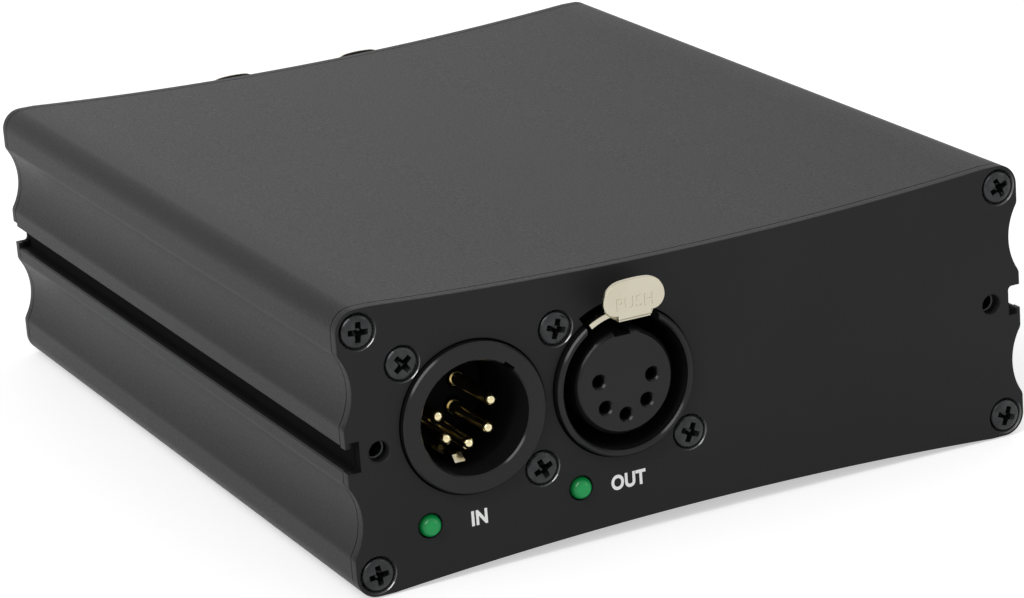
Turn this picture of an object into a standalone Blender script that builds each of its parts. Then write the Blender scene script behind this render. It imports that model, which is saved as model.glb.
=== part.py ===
"""DMX control interface in an extruded aluminium case.

Two identical extruded halves interlock at mid height and carry an end panel at each end. The front
panel holds a 5-pin input and a 5-pole output, the rear panel two more outputs and the USB inlet.
Each output has a sprung latch, a lever that tilts back when its oval tab is pushed.

Frame: metres, +Z up, front panel towards -Y, origin under the middle of the case on its feet.
"""
import math

import bmesh
import bpy
from mathutils import Matrix, Vector

MM = 0.001

# Clearances
FIT = 0.3 * MM                     # between neighbouring pieces
SEAM = 0.2 * MM                    # between an end panel and the extrusions

# Case
CASE_WIDTH = 112.0 * MM
CASE_HEIGHT = 42.8 * MM
CASE_DEPTH = 136.1 * MM
PANEL_THICKNESS = 1.6 * MM
PANEL_CHAMFER = 0.2 * MM
FACE_WALL = 1.9 * MM               # broad walls, top and bottom
SIDE_WALL = 3.6 * MM               # side walls at their lands
FACE_DISH = 1.9 * MM               # how far the broad faces dip at mid width
FOOT_WIDTH = 2.4 * MM              # flat land beside each long corner
CORNER_RADIUS = 3.3 * MM

# Scallop along each side of each half
SCALLOP_HEIGHT = 9.75 * MM         # of its deepest line, above mid height
SCALLOP_DEPTH = 1.63 * MM
SCALLOP_RADIUS = 9.5 * MM
SCALLOP_BLEND = 1.5 * MM

# Slot between the halves: one half brings a leg, the other a lip that laps over it
SLOT_DEPTH = 2.0 * MM
LEG_EDGE = 2.2 * MM                # height of the slot's edge on the leg's own half
LIP_EDGE = 1.4 * MM
LEG_REACH = 4.2 * MM               # how far a leg passes mid height
LEG_TOP = 5.2 * MM
LEG_WIDTH = 5.8 * MM
SLOT_CORNER = 0.6 * MM             # rounding of the slot's corners in the panels

# Screw ports of the extrusion
PORT_RADIUS = 1.5 * MM
PORT_MOUTH = 1.4 * MM
PORT_BLOCK = 6.4 * MM              # width of the corner block from the outer side
SIDE_PORT_INSET = 5.1 * MM         # of the mid-height ports from the outer sides
SIDE_HOLE_RADIUS = 1.55 * MM

# Circuit board
BOARD_THICKNESS = 1.6 * MM
BOARD_TOP = -13.6 * MM             # below mid height
BOARD_INSET = 6.5 * MM             # from the panels' outer faces
GROOVE_PLAY = 0.2 * MM
RIB_THICKNESS = 1.2 * MM
RIB_REACH = 2.5 * MM

# Screws
SCREW_SHANK_RADIUS = 1.2 * MM
SCREW_HEAD_RADIUS = 2.5 * MM
SCREW_HEAD_RIM = 0.2 * MM
SCREW_HEAD_HEIGHT = 1.4 * MM
SCREW_SINK = 0.1 * MM              # head below the panel's face
SCREW_HOLE_RADIUS = 1.6 * MM
SINK_RADIUS = 2.75 * MM
SINK_RIM = 0.35 * MM
CORNER_SCREW_LENGTH = 10.0 * MM
CONNECTOR_SCREW_LENGTH = 8.0 * MM

# Connectors, measured from each one's axis and from the panel's outer face
PORT_RISE = 1.9 * MM               # of every connector's axis above mid height
BORE_RADIUS = 10.1 * MM            # of an output, which takes the cable plug's barrel
LATCH_GAP = 0.55 * MM              # latch plate outside the bore
LATCH_THICKNESS = 0.5 * MM
LATCH_ROOM = 0.35 * MM             # slot outside the latch plate
BARREL_SKIN = 0.4 * MM             # wall left outside that slot
CONNECTOR_SCREW_X = 10.25 * MM
CONNECTOR_SCREW_Z = 10.15 * MM
LUG_RADIUS = 2.8 * MM
LUG_LENGTH = 6.6 * MM
PIN_CIRCLE = 4.43 * MM
PIN_DROP = 0.45 * MM               # centre of that circle below the axis
PIN_ANGLES = (9.6, -41.5, -92.6, -141.0, 162.3)  # of an output, and mirrored on the input
BASE_HALF_WIDTH = 9.0 * MM
BASE_START = 9.5 * MM
TAIL_RADIUS = 0.4 * MM
TAIL_BEND = 1.2 * MM

# Input
INPUT_STAND = 1.0 * MM             # rim proud of the panel
INPUT_RIM_STEP = 0.65 * MM         # rim inside the shoulder
CUP_RADIUS = 8.46 * MM
CUP_FLOOR = 14.2 * MM
INPUT_BACK = 20.0 * MM
KEY_ANGLE = 49.0
KEY_WIDTH = 1.9 * MM
KEY_DEPTH = 0.55 * MM
PIN_RADIUS = 0.95 * MM
PIN_TIP = 2.0 * MM
PIN_COLLAR_RADIUS = 1.2 * MM
CARRIER_FLANGE = 1.2 * MM
EARTH_WIDTH = 1.6 * MM
EARTH_SIDE = 1.2 * MM              # left of the axis
EARTH_THICKNESS = 0.3 * MM
EARTH_TIP = 3.2 * MM
EARTH_CREST = 1.0 * MM             # of its bent nose

# Output
OUTPUT_STAND = 1.2 * MM
OUTPUT_RIM_WALL = 1.0 * MM
BORE_FLOOR = 15.0 * MM
OUTPUT_BACK = 21.0 * MM
PLUG_GAP = 2.2 * MM                # round the insert, for the cable plug's barrel
INSERT_RECESS = 0.5 * MM           # insert's face behind the rim's
INSERT_CHAMFER = 0.6 * MM
KEYWAY_WIDTH = 2.6 * MM
KEYWAY_DEPTH = 0.8 * MM
SOCKET_RADIUS = 0.95 * MM
SLEEVE_RADIUS = 1.25 * MM
SLEEVE_BORE = 0.85 * MM
SLEEVE_START = 0.9 * MM
SLEEVE_END = 16.0 * MM

# Latch, from the connector's axis
LATCH_FRONT = 1.4 * MM             # arch ahead of the panel's face
ARCH_HALF_ANGLE = 29.0
YOKE_HALF_ANGLE = 56.0
YOKE_START = 5.0 * MM
YOKE_END = 9.0 * MM
PIVOT_DEPTH = 7.0 * MM
TRUNNION_RADIUS = 0.7 * MM
TAB_HALF_WIDTH = 4.95 * MM
TAB_HEIGHT = 5.2 * MM
TAB_THICKNESS = 0.65 * MM
TAB_LIFT = 0.45 * MM               # tab's lower edge above the latch plate
TAB_FRONT = 5.2 * MM
TAB_RADIUS = 2.5 * MM
TAB_EDGE = 0.15 * MM
NECK_HALF_WIDTH = 2.7 * MM
NECK_LENGTH = 0.65 * MM
HOOK_HALF_WIDTH = 1.6 * MM
HOOK_DEPTH = 1.05 * MM
HOOK_FRONT = 3.0 * MM
HOOK_SLOPE = 1.8 * MM
HOOK_BACK = 5.5 * MM
LATCH_PLAY = 0.6 * MM              # ahead of the yoke in its slot
ARCH_PLAY = 0.4 * MM               # beside the arch in the barrel
LATCH_SIDE = 1.8                   # degrees, beside it in the panel
LATCH_RISE = 1.4 * MM              # room above the arch in the panel
ROOF_THICKNESS = 1.5 * MM
CHAMBER_END = 10.2 * MM
CHAMBER_WALL = 1.4 * MM

# Latch spring
SPRING_ROOM = 2.25 * MM            # between the latch and the roof of its tunnel
SPRING_DEPTH = 3.5 * MM
SPRING_RADIUS = 1.2 * MM
SPRING_WIRE = 0.2 * MM
SPRING_TURNS = 3

# Indicator lamps, from the axis of their connector
LAMP_X = -7.95 * MM
LAMP_Z = -14.6 * MM
LAMP_RADIUS = 1.6 * MM
LAMP_HOLE_RADIUS = 1.85 * MM
LAMP_STAND = 1.2 * MM
LAMP_BODY = 4.2 * MM
LAMP_FLANGE = 1.0 * MM
LAMP_FLANGE_RADIUS = 1.95 * MM
LEAD_PITCH = 2.54 * MM
LEAD_SIZE = 0.5 * MM
LEAD_LENGTH = 3.4 * MM

# USB inlet
USB_WIDTH = 12.0 * MM
USB_HEIGHT = 11.3 * MM
USB_DEPTH = 16.0 * MM
USB_STAND = 0.4 * MM
USB_SHEET = 0.5 * MM
USB_MOUTH_WIDTH = 8.45 * MM
USB_MOUTH_HEIGHT = 7.78 * MM
USB_MOUTH_CHAMFER = 1.6 * MM
USB_MOUTH_DEPTH = 9.0 * MM
USB_TONGUE_WIDTH = 5.6 * MM
USB_TONGUE_HEIGHT = 3.2 * MM

# Chips on the board
PROCESSOR_SIZE = (14.0 * MM, 14.0 * MM, 1.4 * MM)
DRIVER_SIZE = (10.3 * MM, 7.5 * MM, 2.4 * MM)
DRIVER_DISTANCE = 33.0 * MM        # from the panel's outer face

# Derived places
MID_HEIGHT = CASE_HEIGHT / 2
HALF_WIDTH = CASE_WIDTH / 2
HALF_DEPTH = CASE_DEPTH / 2
PORT_X = HALF_WIDTH - CORNER_RADIUS
PORT_Z = MID_HEIGHT - CORNER_RADIUS
SIDE_PORT_X = HALF_WIDTH - SIDE_PORT_INSET
SEAT = PANEL_THICKNESS + FIT       # front of whatever seats behind a panel
BOARD_DROP = BOARD_TOP - PORT_RISE # board's top below a connector's axis
INSERT_RADIUS = BORE_RADIUS - PLUG_GAP
LATCH_INNER = BORE_RADIUS + LATCH_GAP
LATCH_OUTER = LATCH_INNER + LATCH_THICKNESS
SHOULDER_RADIUS = LATCH_OUTER + LATCH_ROOM + BARREL_SKIN
PORT_PITCH = 2 * SHOULDER_RADIUS + FIT
INPUT_RIM_RADIUS = SHOULDER_RADIUS - INPUT_RIM_STEP
OUTPUT_RIM_RADIUS = BORE_RADIUS + OUTPUT_RIM_WALL
PIVOT_HEIGHT = LATCH_OUTER * math.cos(math.radians(YOKE_HALF_ANGLE))
TRUNNION_START = LATCH_INNER * math.sin(math.radians(YOKE_HALF_ANGLE))
TRUNNION_END = math.sqrt(SHOULDER_RADIUS ** 2 - PIVOT_HEIGHT ** 2)
TONGUE_LOW = LATCH_OUTER - LATCH_THICKNESS * 0.85
TAB_LOW = LATCH_OUTER + TAB_LIFT
TAB_HIGH = TAB_LOW + TAB_HEIGHT
CHAMBER_HIGH = LATCH_OUTER + SPRING_ROOM
ROOF_HIGH = CHAMBER_HIGH + ROOF_THICKNESS
COARSE, MEDIUM, FINE = 8, 14, 28   # sides of small, medium and large round pieces


def clear_scene():
    for item in list(bpy.data.objects):
        bpy.data.objects.remove(item, do_unlink=True)


def material(name, colour, roughness, metallic=0.0):
    mat = bpy.data.materials.new(name)
    mat.use_nodes = True
    shader = mat.node_tree.nodes["Principled BSDF"]
    shader.inputs["Base Color"].default_value = (*colour, 1.0)
    shader.inputs["Roughness"].default_value = roughness
    shader.inputs["Metallic"].default_value = metallic
    return mat


# Outlines are lists of (x, z) points

def arc(centre, radius, start, end, steps):
    """Points on a circle from start to end, in degrees, both ends included."""
    points = []
    for step in range(steps + 1):
        angle = math.radians(start + (end - start) * step / steps)
        points.append((centre[0] + radius * math.cos(angle), centre[1] + radius * math.sin(angle)))
    return points


def rounded(corners, steps=4):
    """Outline through (x, z, radius) corners, each rounded by its own radius."""
    points = []
    for index, (x, z, radius) in enumerate(corners):
        here = Vector((x, z))
        if radius == 0:
            points.append((x, z))
            continue
        back = (Vector(corners[index - 1][:2]) - here).normalized()
        ahead = (Vector(corners[(index + 1) % len(corners)][:2]) - here).normalized()
        half = back.angle(ahead) / 2
        centre = here + (back + ahead).normalized() * (radius / math.sin(half))
        first = here + back * (radius / math.tan(half)) - centre
        last = here + ahead * (radius / math.tan(half)) - centre
        turn = first.angle_signed(last)
        for step in range(steps + 1):
            spoke = first.copy()
            spoke.rotate(Matrix.Rotation(-turn * step / steps, 2))
            points.append(tuple(centre + spoke))
    return points


def rectangle(half_width, low, high, radius=0.0):
    return rounded([(-half_width, low, radius), (half_width, low, radius),
                    (half_width, high, radius), (-half_width, high, radius)])


def arch_outline(inner, outer, half_angle, steps):
    """Part of a ring, symmetric about the vertical."""
    return (arc((0, 0), outer, 90 - half_angle, 90 + half_angle, steps)
            + arc((0, 0), inner, 90 + half_angle, 90 - half_angle, steps))


def turned_over(outline):
    return [(-x, -z) for x, z in outline]


# Solids are closed bmeshes

def prism(outline, start, end):
    """Outline extruded along Y."""
    solid = bmesh.new()
    verts = [solid.verts.new((x, start, z)) for x, z in outline]
    face = solid.faces.new(verts)
    grown = bmesh.ops.extrude_face_region(solid, geom=[face], use_keep_orig=True)["geom"]
    moved = [item for item in grown if isinstance(item, bmesh.types.BMVert)]
    bmesh.ops.translate(solid, vec=(0, end - start, 0), verts=moved)
    bmesh.ops.recalc_face_normals(solid, faces=solid.faces)
    return solid


def lathe(profile, sides):
    """Profile of (radius, y) points, from axis to axis, turned about the Y axis."""
    solid = bmesh.new()
    verts = [solid.verts.new((radius, y, 0)) for radius, y in profile]
    edges = [solid.edges.new(pair) for pair in zip(verts, verts[1:])]
    bmesh.ops.spin(solid, geom=verts + edges, cent=(0, 0, 0), axis=(0, 1, 0),
                   angle=2 * math.pi, steps=sides, use_merge=True)
    bmesh.ops.remove_doubles(solid, verts=solid.verts, dist=0.001 * MM)
    bmesh.ops.recalc_face_normals(solid, faces=solid.faces)
    return solid


def rod(radius, start, end, sides):
    return lathe([(0, start), (radius, start), (radius, end), (0, end)], sides)


def box(x_span, y_span, z_span):
    return prism([(x_span[0], z_span[0]), (x_span[1], z_span[0]),
                  (x_span[1], z_span[1]), (x_span[0], z_span[1])], *y_span)


def placed(solid, x=0.0, y=0.0, z=0.0, turn=None):
    """Solid moved to (x, y, z) after an optional turn matrix."""
    if turn is not None:
        bmesh.ops.transform(solid, matrix=turn, verts=solid.verts)
    bmesh.ops.translate(solid, vec=(x, y, z), verts=solid.verts)
    return solid


def combine(first, second, operation):
    """Exact Boolean of two solids, which are used up; it is worked out at a larger scale."""
    holders = []
    for solid in (first, second):
        bmesh.ops.scale(solid, vec=(1 / MM, 1 / MM, 1 / MM), verts=solid.verts)
        mesh = bpy.data.meshes.new("holder")
        solid.to_mesh(mesh)
        solid.free()
        holder = bpy.data.objects.new("holder", mesh)
        bpy.context.collection.objects.link(holder)
        holders.append(holder)
    modifier = holders[0].modifiers.new("Boolean", "BOOLEAN")
    modifier.operation = operation
    modifier.solver = "EXACT"
    modifier.object = holders[1]
    graph = bpy.context.evaluated_depsgraph_get()
    result = bmesh.new()
    result.from_object(holders[0], graph)
    for holder in holders:
        bpy.data.meshes.remove(holder.data)
    bmesh.ops.remove_doubles(result, verts=result.verts, dist=0.0005)
    bmesh.ops.scale(result, vec=(MM, MM, MM), verts=result.verts)
    return result


def joined(solid, *others):
    for other in others:
        solid = combine(solid, other, "UNION")
    return solid


def cut(solid, cutters):
    """Solid less its cutters, which stay clear of each other."""
    together = bmesh.new()
    for cutter in cutters:
        mesh = bpy.data.meshes.new("holder")
        cutter.to_mesh(mesh)
        cutter.free()
        together.from_mesh(mesh)
        bpy.data.meshes.remove(mesh)
    return combine(solid, together, "DIFFERENCE")


def mesh_of(name, solid, mat, smooth_angle=30):
    """Mesh from a solid, with its material; rounds smooth, edges sharp."""
    bmesh.ops.triangulate(solid, faces=[face for face in solid.faces if len(face.verts) > 4])
    mesh = bpy.data.meshes.new(name)
    solid.to_mesh(mesh)
    solid.free()
    mesh.materials.append(mat)
    mesh.shade_smooth()
    mesh.set_sharp_from_angle(angle=math.radians(smooth_angle))
    return mesh


def put(name, mesh, parent=None, location=(0, 0, 0), rotation=(0, 0, 0)):
    item = bpy.data.objects.new(name, mesh)
    bpy.context.collection.objects.link(item)
    item.parent = parent
    item.location = location
    item.rotation_euler = rotation
    return item


def guide(name, location, rotation=(0, 0, 0)):
    """Empty that carries a group of pieces."""
    empty = put(name, None, None, location, rotation)
    empty.empty_display_size = 5 * MM
    return empty


# Case

def scallop(side):
    """Wave in a side wall, upwards: convex blend, concave middle, convex blend."""
    reach = SCALLOP_RADIUS + SCALLOP_BLEND
    across = reach - SCALLOP_DEPTH
    lean = math.degrees(math.acos(across / reach))
    rise = math.sqrt(reach ** 2 - across ** 2)
    blend_x = HALF_WIDTH - SCALLOP_BLEND
    middle = (HALF_WIDTH - SCALLOP_DEPTH + SCALLOP_RADIUS, SCALLOP_HEIGHT)
    points = (arc((blend_x, SCALLOP_HEIGHT - rise), SCALLOP_BLEND, 0, lean, 2)
              + arc(middle, SCALLOP_RADIUS, 180 + lean, 180 - lean, 6)[1:-1]
              + arc((blend_x, SCALLOP_HEIGHT + rise), SCALLOP_BLEND, -lean, 0, 2))
    if side < 0:
        points = [(-x, z) for x, z in reversed(points)]
    return points


def face_height(x):
    """Height of the dished top face above mid height."""
    half_chord = PORT_X - FOOT_WIDTH
    radius = (half_chord ** 2 + FACE_DISH ** 2) / (2 * FACE_DISH)
    return MID_HEIGHT - FACE_DISH + radius - math.sqrt(radius ** 2 - x ** 2)


def outer_half():
    """Outer outline of the upper half, from the right slot edge over the top to the left one."""
    half_chord = PORT_X - FOOT_WIDTH
    steps = 12
    dish = []
    for step in range(steps + 1):
        x = half_chord * (1 - 2 * step / steps)
        dish.append((x, face_height(x)))
    return ([(HALF_WIDTH, LEG_EDGE)] + scallop(1)
            + arc((PORT_X, PORT_Z), CORNER_RADIUS, 0, 90, 5) + dish
            + arc((-PORT_X, PORT_Z), CORNER_RADIUS, 90, 180, 5)
            + scallop(-1) + [(-HALF_WIDTH, LIP_EDGE)])


def screw_port(centre, mouth_x):
    """Keyhole boundary of a screw port whose mouth opens at mouth_x, towards the middle."""
    half = math.degrees(math.asin(PORT_MOUTH / 2 / PORT_RADIUS))
    low, high = centre[1] - PORT_MOUTH / 2, centre[1] + PORT_MOUTH / 2
    if mouth_x < centre[0]:
        return ([(mouth_x, high)] + arc(centre, PORT_RADIUS, 180 - half, -180 + half, 10)
                + [(mouth_x, low)])
    return [(mouth_x, low)] + arc(centre, PORT_RADIUS, -half, -360 + half, 10) + [(mouth_x, high)]


def shell_outline():
    """Section of one extruded half: leg on its right, lip on its left."""
    wall_x = HALF_WIDTH - SIDE_WALL
    block_x = HALF_WIDTH - PORT_BLOCK
    rib_x = wall_x - RIB_REACH
    groove_low = -BOARD_TOP - GROOVE_PLAY
    groove_high = -BOARD_TOP + BOARD_THICKNESS + GROOVE_PLAY
    ceiling_steps = 12
    ceiling = []
    for step in range(ceiling_steps + 1):
        x = block_x * (2 * step / ceiling_steps - 1)
        ceiling.append((x, face_height(x) - FACE_WALL))
    leg_outer = HALF_WIDTH - SLOT_DEPTH
    leg_inner = leg_outer - LEG_WIDTH
    lip_inner = leg_outer + FIT
    left = [(-lip_inner, LIP_EDGE), (-lip_inner, LEG_REACH + FIT), (-wall_x, LEG_REACH + FIT),
            (-wall_x, groove_low - RIB_THICKNESS), (-rib_x, groove_low - RIB_THICKNESS),
            (-rib_x, groove_low), (-wall_x, groove_low), (-wall_x, groove_high),
            (-block_x, groove_high)]
    right = [(block_x, groove_high), (wall_x, groove_high), (wall_x, groove_low),
             (rib_x, groove_low), (rib_x, groove_low - RIB_THICKNESS),
             (wall_x, groove_low - RIB_THICKNESS), (wall_x, LEG_TOP + SLOT_DEPTH),
             (leg_inner, LEG_TOP)]
    leg = [(leg_inner, -LEG_REACH + SLOT_DEPTH), (leg_inner + SLOT_DEPTH / 2, -LEG_REACH),
           (leg_outer, -LEG_REACH), (leg_outer, LEG_EDGE)]
    return (outer_half() + left + screw_port((-PORT_X, PORT_Z), -block_x) + ceiling
            + screw_port((PORT_X, PORT_Z), block_x) + right
            + screw_port((SIDE_PORT_X, 0), leg_inner) + leg)


def slot_corners(sign):
    """Inner corners of a panel's slot after the half that ends on that side."""
    bottom_x = HALF_WIDTH - SLOT_DEPTH
    return [(-bottom_x * sign, LIP_EDGE * sign), (-bottom_x * sign, -LEG_EDGE * sign)]


def panel_outline():
    """Whole outline of the case with its two side slots."""
    upper, lower = outer_half(), turned_over(outer_half())
    corners = [(x, z, 0) for x, z in upper]
    corners += [(x, z, SLOT_CORNER) for x, z in slot_corners(1)]
    corners += [(x, z, 0) for x, z in lower]
    corners += [(x, z, SLOT_CORNER) for x, z in slot_corners(-1)]
    return rounded(corners)


def make_case(metal):
    length = HALF_DEPTH - PANEL_THICKNESS - SEAM
    shell = mesh_of("case_half", prism(shell_outline(), -length, length), metal)
    put("upper_shell", shell, None, (0, 0, MID_HEIGHT))
    put("lower_shell", shell, None, (0, 0, MID_HEIGHT), (0, math.pi, 0))


# Panels

def screw_sink():
    """Cutter for a countersunk screw hole, from a panel's outer face inwards."""
    cone_end = SINK_RIM + SINK_RADIUS - SCREW_HOLE_RADIUS
    return lathe([(0, -MM), (SINK_RADIUS, -MM), (SINK_RADIUS, SINK_RIM),
                  (SCREW_HOLE_RADIUS, min(cone_end, PANEL_THICKNESS - SINK_RIM / 2)),
                  (SCREW_HOLE_RADIUS, PANEL_THICKNESS + MM), (0, PANEL_THICKNESS + MM)], MEDIUM)


def through_hole(radius, sides):
    return rod(radius, -MM, PANEL_THICKNESS + MM, sides)


def screw_places(x):
    """The two screws of a connector at x: upper left and lower right."""
    return [(x - CONNECTOR_SCREW_X, PORT_RISE + CONNECTOR_SCREW_Z),
            (x + CONNECTOR_SCREW_X, PORT_RISE - CONNECTOR_SCREW_Z)]


def case_cutters():
    """Screw holes at a panel's corners and at its mid height."""
    cutters = [placed(screw_sink(), x, 0, z) for x in (-PORT_X, PORT_X) for z in (-PORT_Z, PORT_Z)]
    for x in (-SIDE_PORT_X, SIDE_PORT_X):
        cutters.append(placed(through_hole(SIDE_HOLE_RADIUS, MEDIUM), x))
    return cutters


def latch_hole(radius):
    """Round opening in a panel, let out above for the arch of a latch."""
    side = ARCH_HALF_ANGLE + LATCH_SIDE
    outline = (arc((0, 0), radius, 90 + side, 450 - side, FINE)
               + arc((0, 0), LATCH_OUTER + LATCH_RISE, 90 - side, 90 + side, 8))
    return prism(outline, -MM, PANEL_THICKNESS + MM)


def connector_cutters(x, opening):
    """Opening in a panel for one connector, with the holes of its screws and lamp."""
    lamp_hole = through_hole(LAMP_HOLE_RADIUS, MEDIUM)
    return ([placed(opening, x, 0, PORT_RISE), placed(lamp_hole, x + LAMP_X, 0, PORT_RISE + LAMP_Z)]
            + [placed(screw_sink(), screw_x, 0, screw_z) for screw_x, screw_z in screw_places(x)])


def panel_plate(cutters):
    """Plate with its outer face at y = 0, front edge eased, less its cutters."""
    plate = prism(panel_outline(), 0, PANEL_THICKNESS)
    rim = [edge for edge in plate.edges if all(abs(vert.co.y) < FIT / 9 for vert in edge.verts)]
    bmesh.ops.bevel(plate, geom=rim, offset=PANEL_CHAMFER, offset_type="OFFSET", segments=1,
                    profile=0.5, affect="EDGES", material=-1)
    return cut(plate, case_cutters() + cutters)


def usb_centre_z():
    return BOARD_TOP + FIT + USB_HEIGHT / 2


def make_panels(metal):
    input_x, output_x = -1.5 * PORT_PITCH, -0.5 * PORT_PITCH
    output_hole = OUTPUT_RIM_RADIUS + FIT
    front = panel_plate(connector_cutters(input_x, through_hole(INPUT_RIM_RADIUS + FIT * 0.8, FINE))
                        + connector_cutters(output_x, latch_hole(output_hole)))
    put("front_panel", mesh_of("front_panel", front, metal), None, (0, -HALF_DEPTH, MID_HEIGHT))

    half_height = USB_HEIGHT / 2 + FIT
    window = prism(rectangle(USB_WIDTH / 2 + FIT, -half_height, half_height, 2 * FIT),
                   -MM, PANEL_THICKNESS + MM)
    rear = panel_plate(connector_cutters(output_x, latch_hole(output_hole))
                       + connector_cutters(-output_x, latch_hole(output_hole))
                       + [placed(window, -1.5 * PORT_PITCH, 0, usb_centre_z())])
    put("rear_panel", mesh_of("rear_panel", rear, metal), None, (0, HALF_DEPTH, MID_HEIGHT),
        (0, 0, math.pi))


# Screws

def cross_recess():
    """Tapered cross cutter for a screw head."""
    bar, reach, depth = 0.47 * MM, 1.68 * MM, 1.4 * MM
    outline = [(bar, bar), (bar, reach), (-bar, reach), (-bar, bar), (-reach, bar), (-reach, -bar),
               (-bar, -bar), (-bar, -reach), (bar, -reach), (bar, -bar), (reach, -bar), (reach, bar)]
    cross = prism(outline, -SCREW_SINK, depth)
    for vert in cross.verts:
        if vert.co.y > 0:
            vert.co.x *= 0.5
            vert.co.z *= 0.5
    return cross


def screw_mesh(name, length, mat):
    """Countersunk cross-head screw, its head's rim at y = 0, shank towards +Y."""
    body = lathe([(0, 0), (SCREW_HEAD_RADIUS, 0), (SCREW_HEAD_RADIUS, SCREW_HEAD_RIM),
                  (SCREW_SHANK_RADIUS, SCREW_HEAD_HEIGHT),
                  (SCREW_SHANK_RADIUS, length - SCREW_SHANK_RADIUS / 2),
                  (SCREW_SHANK_RADIUS / 2, length), (0, length)], 12)
    return mesh_of(name, cut(body, [cross_recess()]), mat)


def make_corner_screws(mat):
    mesh = screw_mesh("corner_screw", CORNER_SCREW_LENGTH, mat)
    for end, sign, turn in (("front", -1, 0), ("rear", 1, math.pi)):
        for level, z in (("top", PORT_Z), ("bottom", -PORT_Z)):
            for hand, x in (("left", -PORT_X), ("right", PORT_X)):
                name = f"{end}_{level}_{hand}_screw"
                place = (-sign * x, sign * (HALF_DEPTH - SCREW_SINK), MID_HEIGHT + z)
                put(name, mesh, None, place, (0, 0, turn))


# Parts that all connectors share, in the connector's frame: axis along Y, panel's face at y = 0

def lug(sign):
    """Screw lug beside a connector's barrel; sign -1 is the upper left one."""
    reach = math.hypot(CONNECTOR_SCREW_X, CONNECTOR_SCREW_Z)
    start = SHOULDER_RADIUS - LUG_RADIUS
    outline = ([(start, -LUG_RADIUS)] + arc((reach, 0), LUG_RADIUS, -90, 90, 8)
               + [(start, LUG_RADIUS)])
    angle = math.atan2(-CONNECTOR_SCREW_Z * sign, CONNECTOR_SCREW_X * sign)
    return placed(prism(outline, SEAT, SEAT + LUG_LENGTH), turn=Matrix.Rotation(-angle, 4, "Y"))


def lug_hole(sign):
    return placed(rod(PORT_RADIUS, 0, SEAT + LUG_LENGTH + MM, COARSE),
                  CONNECTOR_SCREW_X * sign, 0, -CONNECTOR_SCREW_Z * sign)


def connector_blank(rim_radius, stand, back):
    """Barrel with its rim, two lugs and the block that stands on the board, before boring."""
    barrel = lathe([(0, -stand), (rim_radius - FIT / 2, -stand), (rim_radius, FIT / 2 - stand),
                    (rim_radius, SEAT), (SHOULDER_RADIUS, SEAT), (SHOULDER_RADIUS, back),
                    (0, back)], FINE)
    base = box((-BASE_HALF_WIDTH, BASE_HALF_WIDTH), (BASE_START, back - MM),
               (BOARD_DROP + FIT, -SHOULDER_RADIUS / 2))
    return joined(barrel, base, lug(-1), lug(1))


def bent_tail(solid, end_y, drop):
    """Grow a solder tail from the flat end of a turned contact: bend down, then straight."""
    end = max(solid.faces, key=lambda face: face.calc_center_median().y)
    level = end.calc_center_median().z
    bend = bmesh.ops.spin(solid, geom=[end], cent=(0, end_y, level - TAIL_BEND),
                          axis=(1, 0, 0), angle=math.radians(-90), steps=3)
    tip = [item for item in bend["geom_last"] if isinstance(item, bmesh.types.BMFace)]
    grown = bmesh.ops.extrude_face_region(solid, geom=tip)["geom"]
    verts = [item for item in grown if isinstance(item, bmesh.types.BMVert)]
    bottom = min(vert.co.z for vert in verts)
    bmesh.ops.translate(solid, vec=(0, 0, drop - bottom), verts=verts)
    bmesh.ops.delete(solid, geom=[end] + tip, context="FACES_ONLY")
    bmesh.ops.recalc_face_normals(solid, faces=solid.faces)
    return solid


def contact_place(angle):
    """Centre of an output's contact; an input's pin is its mirror image in x."""
    return (PIN_CIRCLE * math.cos(math.radians(angle)),
            PIN_CIRCLE * math.sin(math.radians(angle)) - PIN_DROP)


def tail_row(z, back):
    """Depth at which a tail turns down: high contacts behind the low ones."""
    return back + FIT + (3.2 * MM if z > 0 else 1.0 * MM)


# Input

def input_housing():
    body = connector_blank(INPUT_RIM_RADIUS, INPUT_STAND, INPUT_BACK)
    cup = rod(CUP_RADIUS, -INPUT_STAND - MM, INPUT_BACK + MM, FINE)
    key = box((-KEY_WIDTH / 2, KEY_WIDTH / 2), (-INPUT_STAND - MM, CUP_FLOOR),
              (CUP_RADIUS - MM, CUP_RADIUS + KEY_DEPTH))
    key = placed(key, turn=Matrix.Rotation(math.radians(90 - KEY_ANGLE), 4, "Y"))
    return cut(body, [joined(cup, key), lug_hole(-1), lug_hole(1)])


def input_carrier():
    """Disc that closes the cup and holds the pins."""
    radius = CUP_RADIUS - FIT
    seat = INPUT_BACK + FIT
    disc = lathe([(0, CUP_FLOOR), (radius, CUP_FLOOR), (radius, seat), (radius + 4 * FIT, seat),
                  (radius + 4 * FIT, seat + CARRIER_FLANGE), (0, seat + CARRIER_FLANGE)], FINE)
    holes = []
    for angle in PIN_ANGLES:
        x, z = contact_place(angle)
        hole = lathe([(0, CUP_FLOOR - MM), (PIN_COLLAR_RADIUS + FIT, CUP_FLOOR - MM),
                      (PIN_COLLAR_RADIUS + FIT, CUP_FLOOR + 2 * MM),
                      (PIN_RADIUS + FIT, CUP_FLOOR + 2 * MM),
                      (PIN_RADIUS + FIT, seat + CARRIER_FLANGE + MM),
                      (0, seat + CARRIER_FLANGE + MM)], COARSE)
        holes.append(placed(hole, -x, 0, z))
    return cut(disc, holes)


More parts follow.
